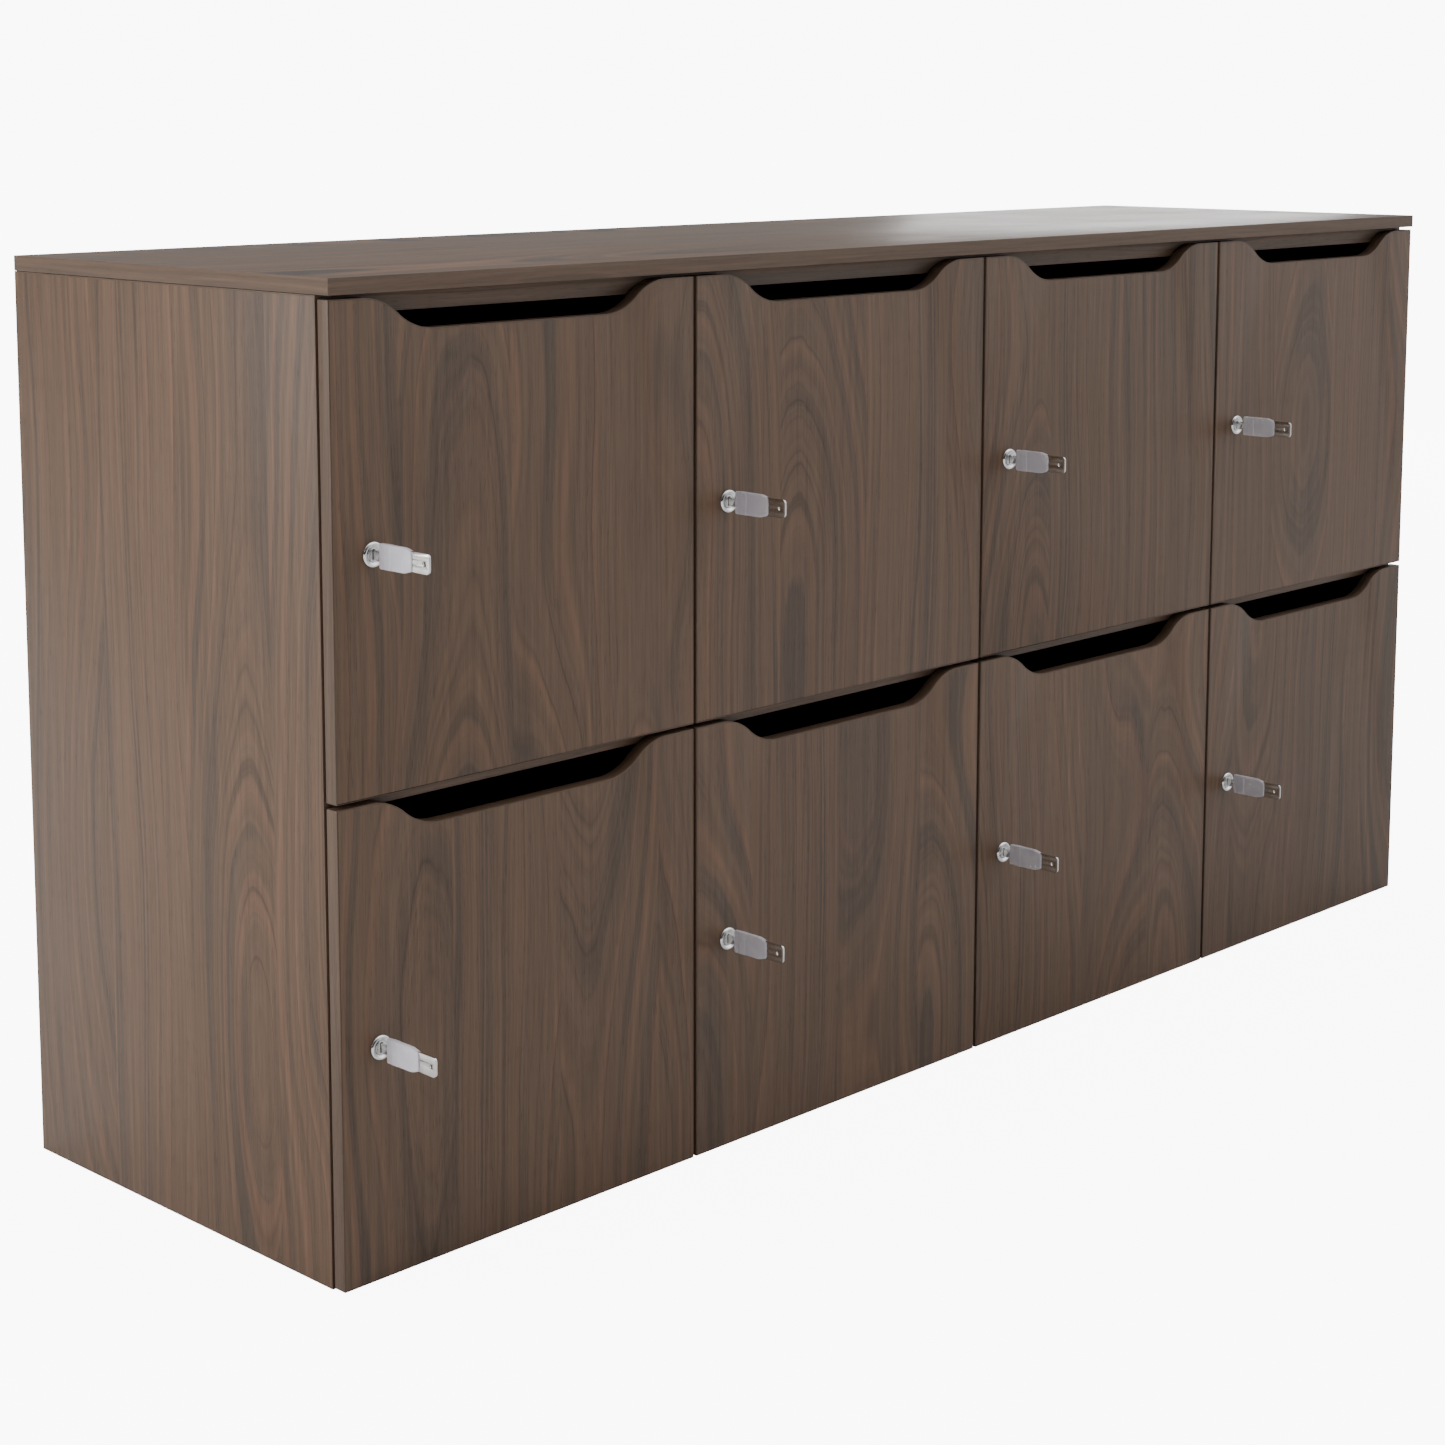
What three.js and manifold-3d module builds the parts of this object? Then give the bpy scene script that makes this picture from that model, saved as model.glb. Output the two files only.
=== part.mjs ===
// A bank of eight keyed lockers, four columns by two rows, in walnut-faced board.
// Units are millimetres. +X is to the right of someone facing the doors, +Y runs to the back
// and +Z is up. The origin is the centre of the base, on the floor.

import * as THREE from 'three';
import { mergeVertices } from 'three/addons/utils/BufferGeometryUtils.js';
import Module from 'manifold-3d';

const wasm = await Module();
wasm.setup();

// ---------- driving dimensions ----------

const WIDTH = 1598; // over the side panels
const DEPTH = 441; // of the top slab
const HEIGHT = 811.5; // floor to the top of the slab
const SLAB_T = 13.4; // 13 mm board with its laminate
const PANEL_T = 16; // carcass board
const BACK_T = 9; // back board
const FIT = 0.3; // clearance between neighbouring pieces

const COLUMNS = 4;
const PITCH = 400; // column centre lines
const DOOR_W = 396.5;
const DOOR_H = 394.5;
const DOOR_T = 13;
const DOOR_Y = -219; // front plane of the doors
const CARCASS_Y = -203.8; // front edges of the carcass boards
const SHELF_Z = 389.7; // underside of the middle shelf
const ROWS = [
  { name: 'lower', doorZ: 1.5 },
  { name: 'upper', doorZ: 400.3 },
];

// The grip and letter opening in a door's top edge: an S of two equal arcs at each end.
const GRIP_START = 33; // from the door's side edge to where the curve begins
const GRIP_RUN = 72; // length of the S
const GRIP_DEPTH = 26.8;
const CURVE_STEPS = 6; // each large arc gets twice this many segments
const SMALL_CURVE_STEPS = 2; // and each small one twice this many

// The cam lock, measured from the door's lower left front corner.
const LOCK_X = 40;
const LOCK_Z = 194;
const LOCK_R = 9; // threaded housing
const ROSE = { r: 10.5, rimY: -1.2, lipY: -2.5, lipOuterR: 9.4, lipInnerR: 8.2, dishY: -1.6 };
const PLUG_R = 6;
const PLUG_Y = -1.4; // face of the plug, set back in the rose
const HOUSING_Y = 23.5; // back end of the housing
const CAM = { thick: 2, hubR: 7, tipHalf: 4.5, screwR: 4.5, screwHead: 2.5 };
const CAM_LONG = 38; // axis to tip, for a lock beside a divider
const CAM_SHORT = 29.5; // for a lock beside the left side panel
const MORTISE = { depth: 6.5, below: 23, above: 8, width: 8 };

// The key, which stands straight out of the plug with its blade upright.
const KEY = {
  bladeH: 8, bladeT: 2, bladeEnd: 19.5,
  gripH: 20.4, gripT: 4.5, gripNear: -10, gripFar: -49, gripR: 8,
  bowH: 16.4, bowFar: -69, bowR: 4, holeR: 1.8, holeY: -62.5,
};

// The concealed hinge, measured from the door's right front edge.
const HINGE_DROP = 80; // hinge centre to the door's top or bottom edge
const CUP_X = -17;
const CUP_R = 13.15;
const CUP_FLOOR_Y = 3;
const ARM_PIN = { x: -24, y: 11.5 };
const LINK_BEND = { x: -14.5, y: 5.6 };
const LINK_END = { x: -6.5, y: 8.4 };
const LINK_R = 1; // half the strap's thickness, and the radius of its ends
const ARM_H = 10;
const TONGUE_H = 6;
const PIN_R = 1.5;
const EYE_R = 3;
const PLATE = { front: 32, back: 74, thick: 2.5 }; // along the wall, and off it
const ARM = { tailY: 66, backY: 62, backX: 10, kneeY: 38, kneeX: 12, neckY: 26, throatY: 20, footX: 5 };

const ROUND = 16; // sides of a round piece

// ---------- materials ----------

const walnut = { color: 0x58483e, roughness: 0.5, metalness: 0 };
const slabWalnut = { color: 0x5f4b40, roughness: 0.42, metalness: 0 };
const backBoard = { color: 0x6b5a4e, roughness: 0.6, metalness: 0 };
const chrome = { color: 0xc9cacc, roughness: 0.18, metalness: 1 };
const steel = { color: 0x9a9c9e, roughness: 0.35, metalness: 1 };

// ---------- solids ----------

/** A closed geometry as a manifold-3d solid. */
function toSolid(geometry) {
  const bare = geometry.clone();
  bare.deleteAttribute('normal');
  bare.deleteAttribute('uv');
  const merged = mergeVertices(bare, 1e-4);
  return new wasm.Manifold(new wasm.Mesh({
    numProp: 3,
    vertProperties: new Float32Array(merged.attributes.position.array),
    triVerts: new Uint32Array(merged.index.array),
  }));
}

/** A manifold-3d solid as a three.js geometry. */
function toGeometry(solid) {
  const mesh = solid.getMesh();
  const geometry = new THREE.BufferGeometry();
  geometry.setAttribute('position', new THREE.BufferAttribute(mesh.vertProperties, 3));
  geometry.setIndex(new THREE.BufferAttribute(mesh.triVerts, 1));
  return geometry;
}

/** The first geometry with the others cut from it. */
function cut(body, ...tools) {
  return toGeometry(tools.reduce((solid, tool) => solid.subtract(toSolid(tool)), toSolid(body)));
}

/** All the geometries joined into one body. */
function join(body, ...others) {
  return toGeometry(others.reduce((solid, other) => solid.add(toSolid(other)), toSolid(body)));
}

/** A box between two values on each axis. */
function box([x0, x1], [y0, y1], [z0, z1]) {
  return new THREE.BoxGeometry(x1 - x0, y1 - y0, z1 - z0)
    .translate((x0 + x1) / 2, (y0 + y1) / 2, (z0 + z1) / 2);
}

/** A round bar along Y. */
function barY(radius, x, z, [y0, y1]) {
  return new THREE.CylinderGeometry(radius, radius, y1 - y0, ROUND).translate(x, (y0 + y1) / 2, z);
}

/** A round bar along Z. */
function barZ(radius, x, y, [z0, z1], sides = ROUND / 2) {
  return new THREE.CylinderGeometry(radius, radius, z1 - z0, sides)
    .rotateX(Math.PI / 2).translate(x, y, (z0 + z1) / 2);
}

/** An outline drawn in X and Y, made thick upwards from zero. */
function extrude(shape, depth, curveSegments) {
  return new THREE.ExtrudeGeometry(shape, { depth, bevelEnabled: false, curveSegments });
}

/** An outline drawn in X and Z, made thick along Y. */
function plateY(shape, [y0, y1]) {
  return extrude(shape, y1 - y0, CURVE_STEPS).rotateX(Math.PI / 2).translate(0, y1, 0);
}

/** An outline drawn in Y and Z, made thick along X. */
function plateX(shape, [x0, x1]) {
  return extrude(shape, x1 - x0, SMALL_CURVE_STEPS)
    .applyMatrix4(new THREE.Matrix4().set(0, 0, 1, x0, 1, 0, 0, 0, 0, 1, 0, 0, 0, 0, 0, 1));
}

/** An outline drawn in X and Y, made thick along Z, centred on zero. */
function plateZ(shape, height) {
  return extrude(shape, height, SMALL_CURVE_STEPS).translate(0, 0, -height / 2);
}

/** A rectangle with one radius at its near end and another at its far end (lower first value). */
function roundedPlate(far, near, height, farR, nearR) {
  const h = height / 2;
  return new THREE.Shape()
    .moveTo(far + farR, -h)
    .lineTo(near - nearR, -h)
    .absarc(near - nearR, -h + nearR, nearR, -Math.PI / 2, 0)
    .absarc(near - nearR, h - nearR, nearR, 0, Math.PI / 2)
    .lineTo(far + farR, h)
    .absarc(far + farR, h - farR, farR, Math.PI / 2, Math.PI)
    .absarc(far + farR, -h + farR, farR, Math.PI, Math.PI * 1.5);
}

/** A named node. */
function node(name, geometry, finish) {
  const mesh = new THREE.Mesh(geometry, new THREE.MeshStandardMaterial(finish));
  mesh.name = name;
  return mesh;
}

// ---------- carcass ----------

const halfW = WIDTH / 2;
const backY = DEPTH / 2;
const underSlab = HEIGHT - SLAB_T - FIT;
const innerX = halfW - PANEL_T; // inner face of a side panel
const boardX = [-innerX + FIT, innerX - FIT];
const boardY = [CARCASS_Y, backY - BACK_T - FIT];
const shelfSpan = [SHELF_Z, SHELF_Z + PANEL_T];
const upperPanelZ = underSlab - PANEL_T;
const halfLap = (boardY[0] + boardY[1]) / 2;
const dividerXs = Array.from({ length: COLUMNS - 1 }, (_, i) => (i + 1 - COLUMNS / 2) * PITCH);
const lockZs = ROWS.map((row) => row.doorZ + LOCK_Z);
const camY = DOOR_Y + HOUSING_Y + FIT + CAM.thick / 2;

/** The pocket in a board's right face that a lock's cam turns into. */
function camMortise(faceX, lockZ) {
  const half = MORTISE.width / 2;
  return box(
    [faceX - MORTISE.depth, faceX + 1],
    [camY - half, camY + half],
    [lockZ - MORTISE.below, lockZ + MORTISE.above],
  );
}

/** A divider: pockets for the cams on its right, a half-lap slot for the shelf at its front. */
function dividerGeometry(x) {
  const half = PANEL_T / 2;
  const board = box([x - half, x + half], boardY, [PANEL_T + FIT, upperPanelZ - FIT]);
  const lap = box(
    [x - PANEL_T, x + PANEL_T],
    [boardY[0] - 1, halfLap + FIT],
    [shelfSpan[0] - FIT, shelfSpan[1] + FIT],
  );
  return cut(board, lap, ...lockZs.map((z) => camMortise(x + half, z)));
}

/** The full-width shelf, slotted from the back where the dividers cross it. */
function shelfGeometry() {
  const half = PANEL_T / 2 + FIT;
  const laps = dividerXs.map((x) => box(
    [x - half, x + half],
    [halfLap, boardY[1] + 1],
    [shelfSpan[0] - 1, shelfSpan[1] + 1],
  ));
  return cut(box(boardX, boardY, shelfSpan), ...laps);
}

function makeCarcass() {
  const carcass = new THREE.Group();
  const sideY = [CARCASS_Y, backY];
  const sideZ = [0, underSlab];
  const leftSide = cut(
    box([-halfW, -innerX], sideY, sideZ),
    ...lockZs.map((z) => camMortise(-innerX, z)),
  );
  carcass.add(
    node('top_slab', box([-halfW, halfW], [-backY, backY], [HEIGHT - SLAB_T, HEIGHT]), slabWalnut),
    node('upper_panel', box(boardX, boardY, [upperPanelZ, underSlab]), walnut),
    node('bottom_panel', box(boardX, boardY, [0, PANEL_T]), walnut),
    node('left_side', leftSide, walnut),
    node('right_side', box([innerX, halfW], sideY, sideZ), walnut),
    node('back_panel', box(boardX, [backY - BACK_T, backY], [0, underSlab]), backBoard),
    node('middle_shelf', shelfGeometry(), walnut),
  );
  dividerXs.forEach((x, i) => carcass.add(node(`divider_${i + 1}`, dividerGeometry(x), walnut)));
  return carcass;
}

// ---------- door ----------

/** The front outline of a door, from its lower left corner, with the opening in its top edge. */
function doorOutline() {
  const radius = (GRIP_RUN ** 2 + GRIP_DEPTH ** 2) / (4 * GRIP_DEPTH);
  const turn = 2 * Math.atan(GRIP_DEPTH / GRIP_RUN);
  const up = Math.PI / 2;
  const crestZ = DOOR_H - radius;
  const troughZ = DOOR_H - GRIP_DEPTH + radius;
  const leftFlat = GRIP_START + GRIP_RUN;
  const rightFlat = DOOR_W - leftFlat;
  return new THREE.Shape()
    .moveTo(0, 0)
    .lineTo(DOOR_W, 0)
    .lineTo(DOOR_W, DOOR_H)
    .lineTo(DOOR_W - GRIP_START, DOOR_H)
    .absarc(DOOR_W - GRIP_START, crestZ, radius, up, up + turn)
    .absarc(rightFlat, troughZ, radius, turn - up, -up, true)
    .lineTo(leftFlat, DOOR_H - GRIP_DEPTH)
    .absarc(leftFlat, troughZ, radius, -up, -up - turn, true)
    .absarc(GRIP_START, crestZ, radius, up - turn, up)
    .lineTo(0, DOOR_H);
}

/** A door with its lock bore and two hinge cups. */
function doorGeometry() {
  const cups = [HINGE_DROP, DOOR_H - HINGE_DROP].map((z) => (
    barY(CUP_R, DOOR_W + CUP_X, z, [CUP_FLOOR_Y, DOOR_T + 1])));
  return cut(
    plateY(doorOutline(), [0, DOOR_T]),
    barY(LOCK_R + FIT, LOCK_X, LOCK_Z, [-1, DOOR_T + 1]),
    ...cups,
  );
}

// ---------- lock and key, about the lock's axis ----------

/** The fixed housing: a dished rose in front of the door and a sleeve through it. */
function lockBodyGeometry() {
  const bore = PLUG_R + FIT;
  const profile = [
    [bore, HOUSING_Y], [bore, ROSE.dishY], [ROSE.lipInnerR, ROSE.lipY],
    [ROSE.lipOuterR, ROSE.lipY], [ROSE.r, ROSE.rimY], [ROSE.r, -FIT],
    [LOCK_R, -FIT], [LOCK_R, HOUSING_Y], [bore, HOUSING_Y],
  ];
  return new THREE.LatheGeometry(profile.map(([r, y]) => new THREE.Vector2(r, y)), ROUND);
}

/** The plug with its keyway, and the cam and its screw on the plug's tail. */
function lockPlugGeometry(camLength) {
  const camNear = HOUSING_Y + FIT;
  const camFar = camNear + CAM.thick;
  const cam = new THREE.Shape()
    .absarc(0, 0, CAM.hubR, 0, Math.PI)
    .lineTo(-CAM.tipHalf, -camLength)
    .lineTo(CAM.tipHalf, -camLength);
  const keyway = box(
    [-KEY.bladeT / 2 - FIT, KEY.bladeT / 2 + FIT],
    [PLUG_Y - 1, KEY.bladeEnd + 0.5],
    [-KEY.bladeH / 2 - FIT, KEY.bladeH / 2 + FIT],
  );
  const plug = join(
    barY(PLUG_R, 0, 0, [PLUG_Y, camNear + 0.5]),
    plateY(cam, [camNear, camFar]),
    barY(CAM.screwR, 0, 0, [camFar - 0.5, camFar + CAM.screwHead]),
  );
  return cut(plug, keyway);
}

/** The key: a flat blade, a moulded grip sleeve and the end of its metal bow with a ring hole. */
function keyGeometry() {
  const half = KEY.bladeT / 2;
  const bow = roundedPlate(KEY.bowFar, KEY.gripFar + 2, KEY.bowH, KEY.bowR, 0.5);
  bow.holes.push(new THREE.Path().absarc(KEY.holeY, 0, KEY.holeR, 0, Math.PI * 2, true));
  const grip = roundedPlate(KEY.gripFar, KEY.gripNear, KEY.gripH, KEY.gripR, 1.5);
  return join(
    box([-half, half], [KEY.gripNear - 2, KEY.bladeEnd], [-KEY.bladeH / 2, KEY.bladeH / 2]),
    plateX(grip, [-KEY.gripT / 2, KEY.gripT / 2]),
    plateX(bow, [-half, half]),
  );
}

// ---------- hinge, about the door's right front edge at the hinge's height ----------

/** The hinge arm on its plate: it leaves the wall, cranks across and ends in a fork in the cup. */
function hingeArmGeometry(wallX) {
  const wall = wallX - FIT;
  const outline = new THREE.Shape()
    .moveTo(wall, PLATE.front)
    .lineTo(wall, PLATE.back)
    .lineTo(wall - PLATE.thick, PLATE.back)
    .lineTo(wall - PLATE.thick, ARM.tailY)
    .lineTo(wall - ARM.backX, ARM.backY)
    .lineTo(wall - ARM.kneeX, ARM.kneeY)
    .lineTo(ARM_PIN.x - EYE_R, ARM.neckY)
    .absarc(ARM_PIN.x, ARM_PIN.y, EYE_R, Math.PI, Math.PI * 2)
    .lineTo(ARM_PIN.x + EYE_R, ARM.throatY)
    .lineTo(wall - ARM.footX, PLATE.front);
  const fork = box(
    [ARM_PIN.x - 5, ARM_PIN.x + 5],
    [ARM_PIN.y - 5, ARM_PIN.y + 5],
    [-TONGUE_H / 2 - FIT, TONGUE_H / 2 + FIT],
  );
  const pinHole = barZ(PIN_R + FIT, ARM_PIN.x, ARM_PIN.y, [-ARM_H, ARM_H]);
  return cut(plateZ(outline, ARM_H), fork, pinHole);
}

/** A strip of even width between two points, with round ends. */
function strap(from, to, radius) {
  const angle = Math.atan2(to.y - from.y, to.x - from.x);
  const up = Math.PI / 2;
  return new THREE.Shape()
    .absarc(from.x, from.y, radius, angle + up, angle + up * 3)
    .absarc(to.x, to.y, radius, angle - up, angle + up);
}

/** The link: an eye and pin in the arm's fork and a bent strap that runs into the cup. */
function hingeLinkGeometry() {
  return join(
    plateZ(strap(ARM_PIN, LINK_BEND, LINK_R), TONGUE_H),
    plateZ(strap(LINK_BEND, LINK_END, LINK_R), TONGUE_H),
    barZ(EYE_R - 0.4, ARM_PIN.x, ARM_PIN.y, [-TONGUE_H / 2, TONGUE_H / 2]),
    barZ(PIN_R, ARM_PIN.x, ARM_PIN.y, [-ARM_H / 2, ARM_H / 2]),
  );
}

// ---------- one locker front ----------

function makeFront(row, column) {
  const tag = `${row.name}_${column + 1}`;
  const front = new THREE.Group();
  const leftX = (column - COLUMNS / 2) * PITCH + (PITCH - DOOR_W) / 2;
  front.position.set(leftX, DOOR_Y, row.doorZ);
  front.add(node(`door_${tag}`, doorGeometry(), walnut));

  const lock = new THREE.Group();
  lock.position.set(LOCK_X, 0, LOCK_Z);
  const camLength = column === 0 ? CAM_SHORT : CAM_LONG;
  lock.add(
    node(`lock_body_${tag}`, lockBodyGeometry(), chrome),
    node(`lock_plug_${tag}`, lockPlugGeometry(camLength), steel),
    node(`key_${tag}`, keyGeometry(), steel),
  );

  // The last column hangs on the side panel, the others on the left face of a divider.
  const rightX = leftX + DOOR_W;
  const wallX = column === COLUMNS - 1 ? innerX : rightX + (PITCH - DOOR_W) / 2 - PANEL_T / 2;
  const hinge = new THREE.Group();
  hinge.position.set(DOOR_W, 0, DOOR_H - HINGE_DROP);
  hinge.add(
    node(`hinge_arm_${tag}`, hingeArmGeometry(wallX - rightX), steel),
    node(`hinge_link_${tag}`, hingeLinkGeometry(), steel),
  );
  front.add(lock, hinge);
  return front;
}

const lockers = new THREE.Group();
lockers.add(makeCarcass());
for (const row of ROWS) {
  for (let column = 0; column < COLUMNS; column += 1) lockers.add(makeFront(row, column));
}

export default lockers;
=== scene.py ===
"""The visual model of a bank of eight keyed lockers in walnut-grain laminate.

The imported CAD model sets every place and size. This file adds the finished boards, the
hardware and the materials around it, and rides each piece on the body that it belongs to.
"""

import logging
import math
import random
from dataclasses import dataclass, field
from enum import Enum

import bmesh
import bpy
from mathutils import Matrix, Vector
from mathutils.geometry import tessellate_polygon


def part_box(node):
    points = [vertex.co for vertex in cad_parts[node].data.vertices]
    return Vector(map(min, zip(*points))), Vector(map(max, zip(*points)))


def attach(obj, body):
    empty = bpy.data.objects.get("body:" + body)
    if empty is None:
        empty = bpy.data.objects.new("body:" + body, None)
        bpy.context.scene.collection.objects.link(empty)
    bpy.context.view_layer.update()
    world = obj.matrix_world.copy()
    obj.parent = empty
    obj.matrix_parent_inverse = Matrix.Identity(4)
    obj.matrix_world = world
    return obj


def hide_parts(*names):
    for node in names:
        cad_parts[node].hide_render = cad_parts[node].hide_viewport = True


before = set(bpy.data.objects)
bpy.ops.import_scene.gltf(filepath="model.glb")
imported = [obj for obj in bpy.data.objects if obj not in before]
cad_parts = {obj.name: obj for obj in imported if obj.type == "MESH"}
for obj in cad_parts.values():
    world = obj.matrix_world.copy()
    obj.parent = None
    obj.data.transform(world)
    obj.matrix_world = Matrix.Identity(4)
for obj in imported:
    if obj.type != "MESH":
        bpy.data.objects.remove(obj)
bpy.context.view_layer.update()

LOG = logging.getLogger("lockers")
MM = 0.001
GRAIN_UV = "grain"
SHARP = math.radians(32)
COLUMNS = 4
ROWS = ("lower", "upper")

Point = tuple[float, float]
Loop = list[Point]
Socket = bpy.types.NodeSocket
Sockets = bpy.types.bpy_prop_collection


# ---------- outlines ----------

class Plane(Enum):
    """The plane that an outline is drawn in; its thickness runs along the third axis."""

    XY = (0, 1, 2)
    XZ = (0, 2, 1)
    YZ = (1, 2, 0)

    def spot(self, first: float, second: float, through: float) -> tuple[float, ...]:
        """The point at two places in the plane and one through it.

        Args:
            first: Place along the plane's first axis.
            second: Place along its second axis.
            through: Place along the axis that crosses it.

        Returns:
            The point as x, y and z.
        """
        place = [0.0, 0.0, 0.0]
        for axis, value in zip(self.value, (first, second, through)):
            place[axis] = value
        return tuple(place)


class Grain(Enum):
    """Which of an outline's two axes the grain runs along."""

    FIRST = 0
    SECOND = 1


def arc(centre: Point, radius: float, start: float, end: float, steps: int) -> Loop:
    """Points along a circular arc.

    Args:
        centre: Centre of the arc.
        radius: Its radius.
        start: First angle, in radians.
        end: Last angle.
        steps: Number of chords.

    Returns:
        The points from the first angle to the last.
    """
    turns = [start + (end - start) * i / steps for i in range(steps + 1)]
    return [(centre[0] + radius * math.cos(t), centre[1] + radius * math.sin(t)) for t in turns]


def circle(centre: Point, radius: float, sides: int = 40) -> Loop:
    """A closed round outline, anticlockwise."""
    return arc(centre, radius, 0, 2 * math.pi, sides)[:-1]


def rectangle(first: Point, second: Point, corner: float = 0.0, steps: int = 4) -> Loop:
    """A rectangle between two values on each axis, anticlockwise.

    Args:
        first: Low and high place along the first axis.
        second: Low and high place along the second axis.
        corner: Corner radius; sharp if it is zero.
        steps: Chords in each corner.

    Returns:
        The outline.
    """
    (a0, a1), (b0, b1) = first, second
    if not corner:
        return [(a0, b0), (a1, b0), (a1, b1), (a0, b1)]
    centres = [(a1 - corner, b0 + corner), (a1 - corner, b1 - corner),
               (a0 + corner, b1 - corner), (a0 + corner, b0 + corner)]
    quarter = math.pi / 2
    return [p for i, c in enumerate(centres) for p in arc(c, corner, quarter * (i - 1), quarter * i, steps)]


def inset(loop: Loop, amount: float) -> Loop:
    """The outline moved in by an even amount, or out if the amount is negative.

    Args:
        loop: An anticlockwise outline.
        amount: How far to move each side.

    Returns:
        The new outline, with as many points.
    """
    if not amount:
        return loop
    moved = []
    for i, here in enumerate(loop):
        before, after = Vector(loop[i - 1]), Vector(loop[(i + 1) % len(loop)])
        into = (Vector(here) - before).normalized()
        out = (after - Vector(here)).normalized()
        left, right = Vector((-into.y, into.x)), Vector((-out.y, out.x))
        corner = (left + right) / max(0.2, 1 + left.dot(right))
        moved.append(tuple(Vector(here) + corner * amount))
    return moved


def strip(points: Loop, half: float, end_steps: int = 5) -> Loop:
    """A band of even width along a path, with round ends, anticlockwise.

    Args:
        points: The path.
        half: Half the band's width.
        end_steps: Chords in each round end.

    Returns:
        The outline.
    """
    heads = [math.atan2(b[1] - a[1], b[0] - a[0]) for a, b in zip(points, points[1:])]
    quarter = math.pi / 2
    left, right = [], []
    for here, before, after in zip(points[1:-1], heads, heads[1:]):
        middle = (before + after) / 2
        reach = half / math.cos((after - before) / 2)
        left.append((here[0] - reach * math.sin(middle), here[1] + reach * math.cos(middle)))
        right.append((here[0] + reach * math.sin(middle), here[1] - reach * math.cos(middle)))
    far = arc(points[-1], half, heads[-1] - quarter, heads[-1] + quarter, end_steps)
    near = arc(points[0], half, heads[0] + quarter, heads[0] + 3 * quarter, end_steps)
    return right + far + left[::-1] + near


def scaled(loop: Loop, origin: Point = (0.0, 0.0), scale: float = MM) -> Loop:
    """An outline in millimetres about an origin, as metres in the object's frame."""
    return [(origin[0] + a * scale, origin[1] + b * scale) for a, b in loop]


# ---------- solids ----------

@dataclass(frozen=True)
class Hole:
    """A hole in a plate: right through, or down to a floor from the far or the near face."""

    loop: Loop
    floor: float | None = None
    from_near: bool = False


def eased(span: Point, ease: float, side: int = 1) -> list[Point]:
    """The profile of a wall whose two edges are rounded off.

    Args:
        span: Where the wall starts and ends.
        ease: Radius of the rounding.
        side: 1 for an outer wall, -1 for a hole's.

    Returns:
        Pairs of inset and place along the span.
    """
    if not ease:
        return [(0.0, span[0]), (0.0, span[1])]
    steps = [(ease, 0.0), (0.293 * ease, 0.293 * ease), (0.0, ease)]
    near = [(side * i, span[0] + d) for i, d in steps]
    return near + [(side * i, span[1] - d) for i, d in reversed(steps)]


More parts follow.
